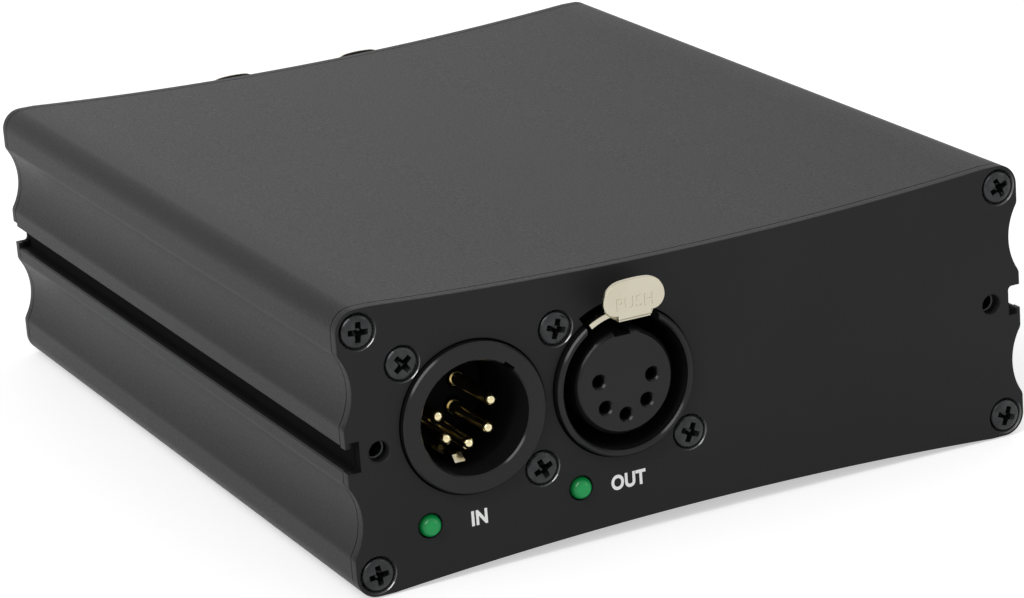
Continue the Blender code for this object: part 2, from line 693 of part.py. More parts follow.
def input_pin(z):
    """Gold pin with a round nose, a collar at the carrier and a bent solder tail."""
    back = INPUT_BACK + FIT + CARRIER_FLANGE
    nose = [(PIN_RADIUS * math.sin(math.radians(a)),
             PIN_TIP + PIN_RADIUS * (1 - math.cos(math.radians(a)))) for a in (0, 30, 60, 90)]
    collar_start, collar_end = CUP_FLOOR - FIT, CUP_FLOOR + 1.7 * MM
    profile = nose + [(PIN_RADIUS, collar_start), (PIN_COLLAR_RADIUS, collar_start),
                      (PIN_COLLAR_RADIUS, collar_end), (PIN_RADIUS, collar_end),
                      (PIN_RADIUS, back - FIT), (TAIL_RADIUS, back - FIT)]
    end_y = tail_row(z, back)
    pin = lathe(profile + [(TAIL_RADIUS, end_y), (0, end_y)], COARSE)
    bmesh.ops.dissolve_verts(pin, verts=[vert for vert in pin.verts
                                         if abs(vert.co.x) + abs(vert.co.z) < FIT / 99
                                         and vert.co.y > back])
    return bent_tail(pin, end_y, BOARD_DROP + FIT - z)


def earth_contact():
    """Spring strip along the floor side of the cup, its nose bent up into the cup."""
    reach = EARTH_SIDE + EARTH_WIDTH / 2
    low = FIT + EARTH_THICKNESS - math.sqrt(CUP_RADIUS ** 2 - reach ** 2)
    solid = bmesh.new()
    crest = EARTH_TIP + EARTH_CREST
    path = [(EARTH_TIP, low), (crest, low + EARTH_CREST), (crest + 0.4 * MM, low + EARTH_CREST),
            (crest + 3 * EARTH_CREST, low), (CUP_FLOOR - FIT, low)]
    verts = [solid.verts.new((-reach, y, z)) for y, z in path]
    edges = [solid.edges.new(pair) for pair in zip(verts, verts[1:])]
    grown = bmesh.ops.extrude_edge_only(solid, edges=edges)["geom"]
    moved = [item for item in grown if isinstance(item, bmesh.types.BMVert)]
    bmesh.ops.translate(solid, vec=(EARTH_WIDTH, 0, 0), verts=moved)
    bmesh.ops.solidify(solid, geom=solid.faces[:], thickness=EARTH_THICKNESS)
    bmesh.ops.recalc_face_normals(solid, faces=solid.faces)
    return solid


def make_input(plastic, gold, nickel, screw):
    place = guide("input_axis", (-1.5 * PORT_PITCH, -HALF_DEPTH, MID_HEIGHT + PORT_RISE))
    put("input_housing", mesh_of("input_housing", input_housing(), plastic), place)
    put("input_carrier", mesh_of("input_carrier", input_carrier(), plastic), place)
    put("input_earth_contact", mesh_of("input_earth_contact", earth_contact(), nickel), place)
    for number, angle in enumerate(PIN_ANGLES, 1):
        x, z = contact_place(angle)
        mesh = mesh_of(f"input_pin_{number}", input_pin(z), gold)
        put(f"input_pin_{number}", mesh, place, (-x, 0, z))
    put_connector_screws("input", place, screw)


def put_connector_screws(name, place, screw):
    for hand, sign in (("upper", -1), ("lower", 1)):
        put(f"{name}_{hand}_screw", screw, place,
            (CONNECTOR_SCREW_X * sign, SCREW_SINK, -CONNECTOR_SCREW_Z * sign))


# Output

def output_housing():
    """Barrel with the tunnel, slot and bearing holes of the latch."""
    blank = connector_blank(OUTPUT_RIM_RADIUS, OUTPUT_STAND, OUTPUT_BACK)
    tunnel_half = LATCH_OUTER * math.sin(math.radians(ARCH_HALF_ANGLE)) + ARCH_PLAY
    outer_wall = CHAMBER_WALL + tunnel_half
    roof = box((-outer_wall, outer_wall), (SEAT, CHAMBER_END + CHAMBER_WALL),
               (BORE_RADIUS * 0.6, ROOF_HIGH))
    bore = lathe([(0, -OUTPUT_STAND - MM), (BORE_RADIUS, -OUTPUT_STAND - MM),
                  (BORE_RADIUS, BORE_FLOOR), (INSERT_RADIUS + FIT, BORE_FLOOR),
                  (INSERT_RADIUS + FIT, OUTPUT_BACK + MM), (0, OUTPUT_BACK + MM)], FINE)
    tunnel = box((-tunnel_half, tunnel_half), (-OUTPUT_STAND - MM, CHAMBER_END),
                 (BORE_RADIUS * 0.75, CHAMBER_HIGH))
    slot = prism(arch_outline(BORE_RADIUS - FIT, LATCH_OUTER + LATCH_ROOM, YOKE_HALF_ANGLE + 6, 12),
                 YOKE_START - LATCH_PLAY, YOKE_END + LATCH_PLAY * 1.4)
    bearing = placed(rod(TRUNNION_RADIUS + FIT, -SHOULDER_RADIUS, SHOULDER_RADIUS, COARSE),
                     0, PIVOT_DEPTH, PIVOT_HEIGHT, Matrix.Rotation(math.pi / 2, 4, "Z"))
    hollow = joined(bore, tunnel, slot, bearing)
    return cut(joined(blank, roof), [hollow, lug_hole(-1), lug_hole(1)])


def output_insert():
    """Round insert with five stepped contact holes and a keyway along its top."""
    face = INSERT_RECESS - OUTPUT_STAND
    seat = OUTPUT_BACK + FIT
    back = seat + CARRIER_FLANGE
    body = lathe([(0, face), (INSERT_RADIUS - INSERT_CHAMFER, face),
                  (INSERT_RADIUS, face + INSERT_CHAMFER), (INSERT_RADIUS, seat),
                  (INSERT_RADIUS + 5 * FIT, seat), (INSERT_RADIUS + 5 * FIT, back), (0, back)], FINE)
    keyway = box((-KEYWAY_WIDTH / 2, KEYWAY_WIDTH / 2), (face - MM, BORE_FLOOR),
                 (INSERT_RADIUS - KEYWAY_DEPTH, INSERT_RADIUS + MM))
    cutters = [keyway]
    for angle in PIN_ANGLES:
        x, z = contact_place(angle)
        hole = lathe([(0, face - MM), (SOCKET_RADIUS, face - MM),
                      (SOCKET_RADIUS, SLEEVE_START - FIT), (SLEEVE_RADIUS + FIT, SLEEVE_START - FIT),
                      (SLEEVE_RADIUS + FIT, back + MM), (0, back + MM)], COARSE)
        cutters.append(placed(hole, x, 0, z))
    return cut(body, cutters)


def output_contact(z):
    """Contact sleeve, bored from the front, with a bent solder tail."""
    back = OUTPUT_BACK + FIT + CARRIER_FLANGE
    end_y = tail_row(z, back)
    profile = [(0, SLEEVE_END - 3 * MM), (SLEEVE_BORE, SLEEVE_END - 3 * MM),
               (SLEEVE_BORE, SLEEVE_START), (SLEEVE_RADIUS, SLEEVE_START),
               (SLEEVE_RADIUS, SLEEVE_END), (TAIL_RADIUS, SLEEVE_END), (TAIL_RADIUS, end_y), (0, end_y)]
    sleeve = lathe(profile, COARSE)
    bmesh.ops.dissolve_verts(sleeve, verts=[vert for vert in sleeve.verts
                                            if abs(vert.co.x) + abs(vert.co.z) < FIT / 99
                                            and vert.co.y > back])
    return bent_tail(sleeve, end_y, BOARD_DROP + FIT - z)


def rolled_plate(rows, half_angles, inner, outer):
    """Plate rolled about Y: between each two rows it reaches to its own half angle."""
    angles = [0.0]
    for half_angle in half_angles:
        angles += [(angles[-1] + half_angle) / 2, half_angle]
    angles = [-angle for angle in reversed(angles[1:])] + angles
    solid = bmesh.new()
    grid = {}

    def corner(angle, y):
        if (angle, y) not in grid:
            turn = math.radians(angle)
            grid[angle, y] = solid.verts.new((outer * math.sin(turn), y, outer * math.cos(turn)))
        return grid[angle, y]

    for front, back, half_angle in zip(rows, rows[1:], half_angles):
        for start, end in zip(angles, angles[1:]):
            if abs(start + end) / 2 < half_angle:
                solid.faces.new((corner(start, front), corner(end, front),
                                 corner(end, back), corner(start, back)))
    grown = bmesh.ops.extrude_face_region(solid, geom=solid.faces[:], use_keep_orig=True)["geom"]
    for item in grown:
        if isinstance(item, bmesh.types.BMVert):
            item.co.x *= inner / outer
            item.co.z *= inner / outer
    bmesh.ops.recalc_face_normals(solid, faces=solid.faces)
    return solid


def push_tab():
    """Oval tab on a short neck, its front edge eased, with the tongue behind it."""
    neck, end = NECK_HALF_WIDTH, TAB_HALF_WIDTH
    low, back = TAB_LOW - NECK_LENGTH, -TAB_FRONT + TAB_THICKNESS
    tab = prism(rounded([(-neck, low, TAB_EDGE), (neck, low, TAB_EDGE),
                         (neck, TAB_LOW, 0), (end, TAB_LOW, TAB_RADIUS), (end, TAB_HIGH, TAB_RADIUS),
                         (-end, TAB_HIGH, TAB_RADIUS), (-end, TAB_LOW, TAB_RADIUS),
                         (-neck, TAB_LOW, 0)], 5), -TAB_FRONT, back)
    rim = [edge for edge in tab.edges
           if all(abs(vert.co.y + TAB_FRONT) < FIT / 9 for vert in edge.verts)]
    bmesh.ops.bevel(tab, geom=rim, offset=TAB_EDGE, offset_type="OFFSET", segments=1, profile=0.5,
                    affect="EDGES", material=-1)
    tongue = box((TAB_EDGE - neck, neck - TAB_EDGE),
                 (back - TAB_THICKNESS / 2, LATCH_THICKNESS / 2 - LATCH_FRONT),
                 (TONGUE_LOW, TONGUE_LOW + LATCH_THICKNESS))
    return joined(tab, tongue)


def latch_lever():
    """Latch with its tab, arch, yoke, hook and two trunnions, its origin between the trunnions."""
    plate = rolled_plate((-LATCH_FRONT, YOKE_START, YOKE_END), (ARCH_HALF_ANGLE, YOKE_HALF_ANGLE),
                         LATCH_INNER, LATCH_OUTER)
    middle = (LATCH_INNER + LATCH_OUTER) / 2
    hook = prism([(-HOOK_FRONT, middle), (-HOOK_FRONT - HOOK_SLOPE, LATCH_INNER - HOOK_DEPTH),
                  (-HOOK_BACK, LATCH_INNER - HOOK_DEPTH), (-HOOK_BACK, middle)],
                 -HOOK_HALF_WIDTH, HOOK_HALF_WIDTH)
    hook = placed(hook, turn=Matrix.Rotation(-math.pi / 2, 4, "Z"))
    lever = joined(plate, push_tab(), hook)
    for sign in (-1, 1):
        ends = sorted((TRUNNION_START * sign, TRUNNION_END * sign))
        trunnion = placed(rod(TRUNNION_RADIUS, *ends, COARSE), 0, PIVOT_DEPTH, PIVOT_HEIGHT,
                          Matrix.Rotation(-math.pi / 2, 4, "Z"))
        lever = joined(lever, trunnion)
    return placed(lever, 0, -PIVOT_DEPTH, -PIVOT_HEIGHT)


def latch_spring(name, place, nickel):
    """Coil spring between the arch and the roof of the latch tunnel."""
    low = LATCH_OUTER + FIT + SPRING_WIRE
    high = CHAMBER_HIGH - FIT - SPRING_WIRE
    steps = 8 * SPRING_TURNS
    curve = bpy.data.curves.new(name, "CURVE")
    curve.dimensions = "3D"
    curve.bevel_depth = SPRING_WIRE
    curve.bevel_resolution = 0
    curve.use_fill_caps = True
    coil = curve.splines.new("POLY")
    coil.points.add(steps)
    for step, point in enumerate(coil.points):
        angle = 2 * math.pi * step * SPRING_TURNS / steps
        height = low + (high - low) * step / steps
        point.co = (SPRING_RADIUS * math.cos(angle), SPRING_RADIUS * math.sin(angle), height, 1)
    curve.materials.append(nickel)
    put(name, curve, place, (0, SPRING_DEPTH, 0))


def make_outputs(plastic, gold, nickel, screw):
    housing = mesh_of("output_housing", output_housing(), plastic)
    insert = mesh_of("output_insert", output_insert(), plastic)
    lever = mesh_of("output_latch", latch_lever(), nickel)
    height = MID_HEIGHT + PORT_RISE
    places = {
        "front_output": guide("front_output_axis", (-PORT_PITCH / 2, -HALF_DEPTH, height)),
        "rear_output_1": guide("rear_output_1_axis", (PORT_PITCH / 2, HALF_DEPTH, height),
                               (0, 0, math.pi)),
        "rear_output_2": guide("rear_output_2_axis", (-PORT_PITCH / 2, HALF_DEPTH, height),
                               (0, 0, math.pi)),
    }
    for name, place in places.items():
        put(f"{name}_housing", housing, place)
        put(f"{name}_insert", insert, place)
        put(f"{name}_latch", lever, place, (0, PIVOT_DEPTH, PIVOT_HEIGHT))
        latch_spring(f"{name}_latch_spring", place, nickel)
        put_connector_screws(name, place, screw)
    for number, angle in enumerate(PIN_ANGLES, 1):
        x, z = contact_place(angle)
        mesh = mesh_of(f"front_output_contact_{number}", output_contact(z), gold)
        put(f"front_output_contact_{number}", mesh, places["front_output"], (x, 0, z))


# Lamps

def lamp():
    """Round indicator lamp, leads bent down to the board."""
    dome = [(LAMP_RADIUS * math.sin(math.radians(a)),
             -LAMP_STAND + LAMP_RADIUS * (1 - math.cos(math.radians(a))))
            for a in (0, 30, 60, 90)]
    back = LAMP_BODY + LAMP_FLANGE
    body = lathe(dome + [(LAMP_RADIUS, LAMP_BODY), (LAMP_FLANGE_RADIUS, LAMP_BODY),
                         (LAMP_FLANGE_RADIUS, back), (0, back)], 12)
    half = LEAD_SIZE / 2
    drop = BOARD_DROP - LAMP_Z + FIT
    side = [(back - FIT, -half), (back + LEAD_LENGTH - LEAD_SIZE, -half),
            (back + LEAD_LENGTH - LEAD_SIZE, drop), (back + LEAD_LENGTH, drop),
            (back + LEAD_LENGTH, half), (back - FIT, half)]
    for sign in (-1, 1):
        lead = placed(prism(side, -half, half), turn=Matrix.Rotation(-math.pi / 2, 4, "Z"))
        for vert in lead.verts:
            vert.co.y = abs(vert.co.y)
            vert.co.x += sign * LEAD_PITCH / 2
        bmesh.ops.recalc_face_normals(lead, faces=lead.faces)
        body = joined(body, lead)
    return body


def make_lamps(green):
    mesh = mesh_of("lamp", lamp(), green)
    height = MID_HEIGHT + PORT_RISE + LAMP_Z
    for name, x, sign in (("input_lamp", -1.5 * PORT_PITCH, -1),
                          ("front_output_lamp", -0.5 * PORT_PITCH, -1),
                          ("rear_output_1_lamp", 0.5 * PORT_PITCH, 1),
                          ("rear_output_2_lamp", -0.5 * PORT_PITCH, 1)):
        put(name, mesh, None, (x - sign * LAMP_X, sign * HALF_DEPTH, height),
            (0, 0, math.pi if sign > 0 else 0))


# Board and USB inlet

def make_board(laminate, chip):
    half_width = HALF_WIDTH - SIDE_WALL - FIT
    half_length = HALF_DEPTH - BOARD_INSET
    blank = prism(rectangle(half_width, -half_length, half_length, MM), 0, BOARD_THICKNESS)
    blank = placed(blank, turn=Matrix.Rotation(math.pi / 2, 4, "X"))
    put("circuit_board", mesh_of("circuit_board", blank, laminate), None,
        (0, 0, MID_HEIGHT + BOARD_TOP - BOARD_THICKNESS))

    def chip_mesh(name, size):
        half_x, half_y = size[0] / 2, size[1] / 2
        body = box((-half_x, half_x), (-half_y, half_y), (0, size[2]))
        top = [edge for edge in body.edges if all(vert.co.z > size[2] / 2 for vert in edge.verts)]
        bmesh.ops.bevel(body, geom=top, offset=FIT, offset_type="OFFSET", segments=1, profile=0.5,
                        affect="EDGES", material=-1)
        return mesh_of(name, body, chip)

    level = MID_HEIGHT + BOARD_TOP + FIT
    put("processor", chip_mesh("processor", PROCESSOR_SIZE), None, (0, 0, level))
    driver = chip_mesh("line_driver", DRIVER_SIZE)
    row = HALF_DEPTH - DRIVER_DISTANCE
    for name, x, y in (("input_line_receiver", -1.5, -row), ("front_output_line_driver", -0.5, -row),
                       ("rear_output_1_line_driver", 0.5, row),
                       ("rear_output_2_line_driver", -0.5, row)):
        put(name, driver, None, (x * PORT_PITCH, y, level))


def make_usb(steel, plastic):
    place = guide("usb_axis", (1.5 * PORT_PITCH, HALF_DEPTH, MID_HEIGHT + usb_centre_z()),
                  (0, 0, math.pi))
    half_width, half_height = USB_WIDTH / 2, USB_HEIGHT / 2
    inner_width, inner_height = half_width - USB_SHEET, half_height - USB_SHEET
    end = USB_DEPTH - USB_STAND
    tube = prism(rectangle(half_width, -half_height, half_height, USB_SHEET), -USB_STAND, end)
    shell = cut(tube, [prism(rectangle(inner_width, -inner_height, inner_height),
                             -USB_STAND - MM, end + MM)])
    put("usb_shell", mesh_of("usb_shell", shell, steel), place)

    half_mouth, half_tall = USB_MOUTH_WIDTH / 2, USB_MOUTH_HEIGHT / 2
    mouth = [(-half_mouth, -half_tall), (half_mouth, -half_tall),
             (half_mouth, half_tall - USB_MOUTH_CHAMFER), (half_mouth - USB_MOUTH_CHAMFER, half_tall),
             (-half_mouth + USB_MOUTH_CHAMFER, half_tall), (-half_mouth, half_tall - USB_MOUTH_CHAMFER)]
    block = box((-inner_width + FIT, inner_width - FIT), (FIT, end),
                (-inner_height + FIT, inner_height - FIT))
    tongue = box((-USB_TONGUE_WIDTH / 2, USB_TONGUE_WIDTH / 2), (5 * FIT, USB_MOUTH_DEPTH + MM),
                 (-USB_TONGUE_HEIGHT / 2, USB_TONGUE_HEIGHT / 2))
    carrier = joined(cut(block, [prism(mouth, -MM, USB_MOUTH_DEPTH)]), tongue)
    put("usb_carrier", mesh_of("usb_carrier", carrier, plastic), place)


def build():
    clear_scene()
    anodised = material("black_anodised", (0.035, 0.036, 0.038), 0.45, 0.3)
    plastic = material("black_plastic", (0.022, 0.022, 0.023), 0.4)
    black_screw = material("black_screw", (0.03, 0.03, 0.03), 0.35, 0.6)
    nickel = material("nickel", (0.70, 0.68, 0.60), 0.25, 1.0)
    gold = material("gold", (0.85, 0.65, 0.30), 0.25, 1.0)
    steel = material("steel", (0.60, 0.60, 0.61), 0.3, 1.0)
    green = material("green_lens", (0.02, 0.30, 0.10), 0.2)
    laminate = material("board_laminate", (0.02, 0.14, 0.06), 0.5)
    chip = material("chip", (0.03, 0.03, 0.03), 0.5)

    make_case(anodised)
    make_panels(anodised)
    make_corner_screws(black_screw)
    connector_screw = screw_mesh("connector_screw", CONNECTOR_SCREW_LENGTH, black_screw)
    make_input(plastic, gold, nickel, connector_screw)
    make_outputs(plastic, gold, nickel, connector_screw)
    make_lamps(green)
    make_board(laminate, chip)
    make_usb(steel, plastic)


build()
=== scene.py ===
import math

import bmesh
import bpy
from mathutils import Euler, Matrix, Vector


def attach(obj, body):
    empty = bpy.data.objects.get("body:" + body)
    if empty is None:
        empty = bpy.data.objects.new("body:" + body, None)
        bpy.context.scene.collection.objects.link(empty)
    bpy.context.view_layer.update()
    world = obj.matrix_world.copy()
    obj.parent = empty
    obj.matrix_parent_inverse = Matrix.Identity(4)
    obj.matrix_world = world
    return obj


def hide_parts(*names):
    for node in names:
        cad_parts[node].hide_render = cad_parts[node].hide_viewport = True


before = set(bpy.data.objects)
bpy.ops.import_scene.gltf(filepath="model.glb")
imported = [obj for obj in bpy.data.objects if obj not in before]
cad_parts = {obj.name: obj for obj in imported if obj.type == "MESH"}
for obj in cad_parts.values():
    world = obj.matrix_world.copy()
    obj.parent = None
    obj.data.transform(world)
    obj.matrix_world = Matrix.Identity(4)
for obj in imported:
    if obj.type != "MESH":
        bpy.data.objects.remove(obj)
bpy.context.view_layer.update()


# Case halves
#
# One aluminium extrusion is cut to length, turned over and hooked into itself, which leaves a
# slot along each side. It is bead blasted and then anodised black, so it has a fine satin tooth.

# Shapes are worked out in millimetres, and placed and coloured in metres.
mm = 0.001
overall_depth = 136.1
half_width = 56.0
mid_height = 21.4
panel_thickness = 1.6
panel_joint = 0.2
case_end = overall_depth / 2 - panel_thickness - panel_joint

# A shallow dish in the top face, with the wall under it.
dish_edge, dish_depth, top_wall = 50.3, 1.9, 1.9
dish_radius = (dish_edge ** 2 + dish_depth ** 2) / (2 * dish_depth)
dish_z = mid_height - dish_depth + dish_radius

# A scallop along each side of a half, between two rounded lips.
scallop_radius, scallop_depth, scallop_z = 9.5, 1.63, 9.75
lip_radius = 1.5
lip_x = half_width - lip_radius
scallop_x = half_width - scallop_depth + scallop_radius
lip_angle = math.acos((scallop_x - lip_x) / (scallop_radius + lip_radius))
lip_turn = math.degrees(lip_angle)
lip_rise = (scallop_radius + lip_radius) * math.sin(lip_angle)

# The slot between the halves.
slot_lip, slot_floor = 2.45, 54.0

# Channels that the corner screws cut their threads in, and one at mid height for the fixing hole.
corner_x, corner_z = 52.7, 18.1
fixing_x, fixing_rib = 50.9, 48.2
channel_radius, channel_gap = 1.5, 0.7
channel_mouth = math.sqrt(channel_radius ** 2 - channel_gap ** 2)
channel_turn = 360 - 2 * math.degrees(math.asin(channel_gap / channel_radius))

# Inside faces: the side wall, the rib beside the board's groove, and the block of a corner channel.
wall_x = 52.4
rib_x, rib_low, rib_high = 49.9, 12.2, 13.4
block_x, block_low = 49.6, 15.4
block_high = dish_z - top_wall - math.sqrt(dish_radius ** 2 - block_x ** 2)


def shader_group(name, inputs, outputs):
    """An empty node group with its sockets: the group, what it is given, and what it puts out."""
    group = bpy.data.node_groups.new(name, "ShaderNodeTree")
    for label, kind in inputs:
        group.interface.new_socket(name=label, in_out="INPUT", socket_type=f"NodeSocket{kind}")
    for label in outputs:
        group.interface.new_socket(name=label, in_out="OUTPUT", socket_type="NodeSocketFloat")
    given = group.nodes.new("NodeGroupInput").outputs
    return group, given, group.nodes.new("NodeGroupOutput").inputs


def tooth_group():
    """Fine tooth of a blasted or moulded skin, and the soft clouds that handling leaves on it."""
    group, given, out = shader_group("skin_tooth", [("Place", "Vector"), ("Stretch", "Vector"),
                                                    ("Fineness", "Float"), ("Cloud Size", "Float")],
                                     ["Tooth", "Cloud"])
    drawn_out = group.nodes.new("ShaderNodeVectorMath")
    drawn_out.operation = "MULTIPLY"
    group.links.new(given["Place"], drawn_out.inputs[0])
    group.links.new(given["Stretch"], drawn_out.inputs[1])
    fine = group.nodes.new("ShaderNodeTexNoise")
    fine.inputs["Detail"].default_value = 3.0
    fine.inputs["Roughness"].default_value = 0.62
    group.links.new(drawn_out.outputs[0], fine.inputs["Vector"])
    group.links.new(given["Fineness"], fine.inputs["Scale"])
    group.links.new(fine.outputs["Fac"], out["Tooth"])
    cloud = group.nodes.new("ShaderNodeTexNoise")
    cloud.inputs["Detail"].default_value = 2.0
    cloud.inputs["Distortion"].default_value = 0.4
    group.links.new(given["Place"], cloud.inputs["Vector"])
    group.links.new(given["Cloud Size"], cloud.inputs["Scale"])
    group.links.new(cloud.outputs["Fac"], out["Cloud"])
    return group


skin_tooth = tooth_group()


def skin(name, dark, light, rough, fineness, relief, clouds, stretch=(1, 1, 1), levels=None):
    """A finish whose colour drifts with the clouds, and whose gloss and relief follow the tooth.

    The levels are the same all over it, so they are set on the shader's own sockets.
    """
    finish = bpy.data.materials.new(name)
    finish.use_nodes = True
    tree = finish.node_tree
    shader = tree.nodes["Principled BSDF"]
    place = tree.nodes.new("ShaderNodeTexCoord").outputs["Object"]
    tooth = tree.nodes.new("ShaderNodeGroup")
    tooth.node_tree = skin_tooth
    tooth.inputs["Stretch"].default_value = stretch
    tooth.inputs["Fineness"].default_value = fineness
    tooth.inputs["Cloud Size"].default_value = clouds
    tree.links.new(place, tooth.inputs["Place"])
    colour = tree.nodes.new("ShaderNodeMix")
    colour.name = "colour"
    colour.data_type = "RGBA"
    colour.inputs["A"].default_value = (*dark, 1)
    colour.inputs["B"].default_value = (*light, 1)
    tree.links.new(tooth.outputs["Cloud"], colour.inputs["Factor"])
    tree.links.new(colour.outputs["Result"], shader.inputs["Base Color"])
    gloss = tree.nodes.new("ShaderNodeMapRange")
    gloss.name = "gloss"
    gloss.inputs["From Min"].default_value = 0.3
    gloss.inputs["From Max"].default_value = 0.7
    gloss.inputs["To Min"].default_value = rough[0]
    gloss.inputs["To Max"].default_value = rough[1]
    tree.links.new(tooth.outputs["Tooth"], gloss.inputs["Value"])
    tree.links.new(gloss.outputs["Result"], shader.inputs["Roughness"])
    bump = tree.nodes.new("ShaderNodeBump")
    bump.inputs["Strength"].default_value = relief
    bump.inputs["Distance"].default_value = 0.0001
    tree.links.new(tooth.outputs["Tooth"], bump.inputs["Height"])
    tree.links.new(bump.outputs["Normal"], shader.inputs["Normal"])
    for label, level in (levels or {}).items():
        shader.inputs[label].default_value = level
    return finish


def slot_shade_group():
    """One within the slots of the case sides, where shade is painted, nought on their lips and everywhere
    else.
    """
    group, given, out = shader_group("slot_shade_mask", [("Place", "Vector")], ["Slot"])
    offset = group.nodes.new("ShaderNodeVectorMath")
    offset.operation = "SUBTRACT"
    group.links.new(given["Place"], offset.inputs[0])
    offset.inputs[1].default_value = (0, 0, mid_height * mm)
    reach = group.nodes.new("ShaderNodeVectorMath")
    reach.operation = "ABSOLUTE"
    group.links.new(offset.outputs[0], reach.inputs[0])
    parts = group.nodes.new("ShaderNodeSeparateXYZ")
    group.links.new(reach.outputs[0], parts.inputs[0])
    # It comes in under the side faces, ends at the slot's floor, and stays between the lips.
    masks = []
    for axis, start, full in (("X", half_width - 0.1, half_width - 1.0),
                              ("X", slot_floor - 0.15, slot_floor - 0.05),
                              ("Z", slot_lip - 0.05, slot_lip - 0.2)):
        span = group.nodes.new("ShaderNodeMapRange")
        span.inputs["From Min"].default_value = start * mm
        span.inputs["From Max"].default_value = full * mm
        group.links.new(parts.outputs[axis], span.inputs["Value"])
        masks.append(span.outputs["Result"])
    slot = masks[0]
    for mask in masks[1:]:
        both = group.nodes.new("ShaderNodeMath")
        both.operation = "MULTIPLY"
        group.links.new(slot, both.inputs[0])
        group.links.new(mask, both.inputs[1])
        slot = both.outputs[0]
    group.links.new(slot, out["Slot"])
    return group


def case_finish():
    """Black anodising, rougher in the slots, which see little blasting, and coloured near black there as
    painted shade.
    """
    finish = skin("black_anodised", (0.016, 0.016, 0.017), (0.025, 0.025, 0.026), rough=(0.34, 0.5),
                  fineness=3200.0, relief=0.35, clouds=22.0, levels={"Specular IOR Level": 0.1})
    tree = finish.node_tree
    shader = tree.nodes["Principled BSDF"]
    slot_shade_mask = tree.nodes.new("ShaderNodeGroup")
    slot_shade_mask.node_tree = slot_shade_group()
    tree.links.new(tree.nodes["Texture Coordinate"].outputs["Object"], slot_shade_mask.inputs["Place"])
    dull = tree.nodes.new("ShaderNodeMath")
    dull.operation = "MAXIMUM"
    tree.links.new(slot_shade_mask.outputs["Slot"], dull.inputs[0])
    tree.links.new(tree.nodes["gloss"].outputs["Result"], dull.inputs[1])
    tree.links.new(dull.outputs[0], shader.inputs["Roughness"])
    # Painted shade: the colour in the slots goes near black, standing in for the shade that falls in them.
    painted_slot_shade = tree.nodes.new("ShaderNodeMix")
    painted_slot_shade.data_type = "RGBA"
    tree.links.new(slot_shade_mask.outputs["Slot"], painted_slot_shade.inputs["Factor"])
    tree.links.new(tree.nodes["colour"].outputs["Result"], painted_slot_shade.inputs["A"])
    painted_slot_shade.inputs["B"].default_value = (0.002, 0.002, 0.002, 1)
    tree.links.new(painted_slot_shade.outputs["Result"], shader.inputs["Base Color"])
    return finish


black_anodised = case_finish()


def points(geom):
    """The vertices among what an operator gives back."""
    return [item for item in geom if isinstance(item, bmesh.types.BMVert)]


def drawn(start, *strokes):
    """Closed line in millimetres: points (x, z), and rounds (centre x, centre z, degrees, steps)."""
    line = bmesh.new()
    first = last = line.verts.new((start[0], 0, start[1]))
    for stroke in strokes:
        if len(stroke) == 2:
            point = line.verts.new((stroke[0], 0, stroke[1]))
            line.edges.new((last, point))
            last = point
        else:
            x, z, degrees, steps = stroke
            swung = bmesh.ops.spin(line, geom=[last], cent=(x, 0, z), axis=(0, -1, 0),
                                   angle=math.radians(degrees), steps=steps)
            last = points(swung["geom_last"])[0]
    line.edges.new((last, first))
    return line


def bar(line, front, back):
    """Fill a closed line and draw it out along Y into a solid."""
    bmesh.ops.edgeloop_fill(line, edges=line.edges[:])
    bmesh.ops.translate(line, vec=(0, front, 0), verts=line.verts[:])
    grown = bmesh.ops.extrude_face_region(line, geom=line.faces[:], use_keep_orig=True)["geom"]
    bmesh.ops.translate(line, vec=(0, back - front, 0), verts=points(grown))
    bmesh.ops.recalc_face_normals(line, faces=line.faces[:])
    return line


def fitted(name, solid, place, finish, body, node=None, crease=32.0):
    """Turn a solid in millimetres into a finished piece in its place, riding on its body."""
    solid.transform(place @ Matrix.Scale(mm, 4))
    for face in solid.faces:
        face.smooth = True
    mesh = bpy.data.meshes.new(name)
    solid.to_mesh(mesh)
    solid.free()
    mesh.set_sharp_from_angle(angle=math.radians(crease))
    mesh.materials.append(finish)
    piece = bpy.data.objects.new(name, mesh)
    bpy.context.scene.collection.objects.link(piece)
    even = piece.modifiers.new("even_shading", "WEIGHTED_NORMAL")
    even.keep_sharp = True
    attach(piece, body)
    if node:
        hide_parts(node)
    return piece


def scallop(side):
    """Strokes of a scallop and its lips, up the right side (1) or down the left side (-1)."""
    first, second = scallop_z - lip_rise * side, scallop_z + lip_rise * side
    return [(half_width * side, first), (lip_x * side, first, lip_turn, 5),
            (scallop_x * side, scallop_z, -2 * lip_turn, 22), (lip_x * side, second, lip_turn, 5)]


def dish_turn(half_chord):
    """Degrees that the dish's circle turns over a chord."""
    return 2 * math.degrees(math.asin(half_chord / dish_radius))


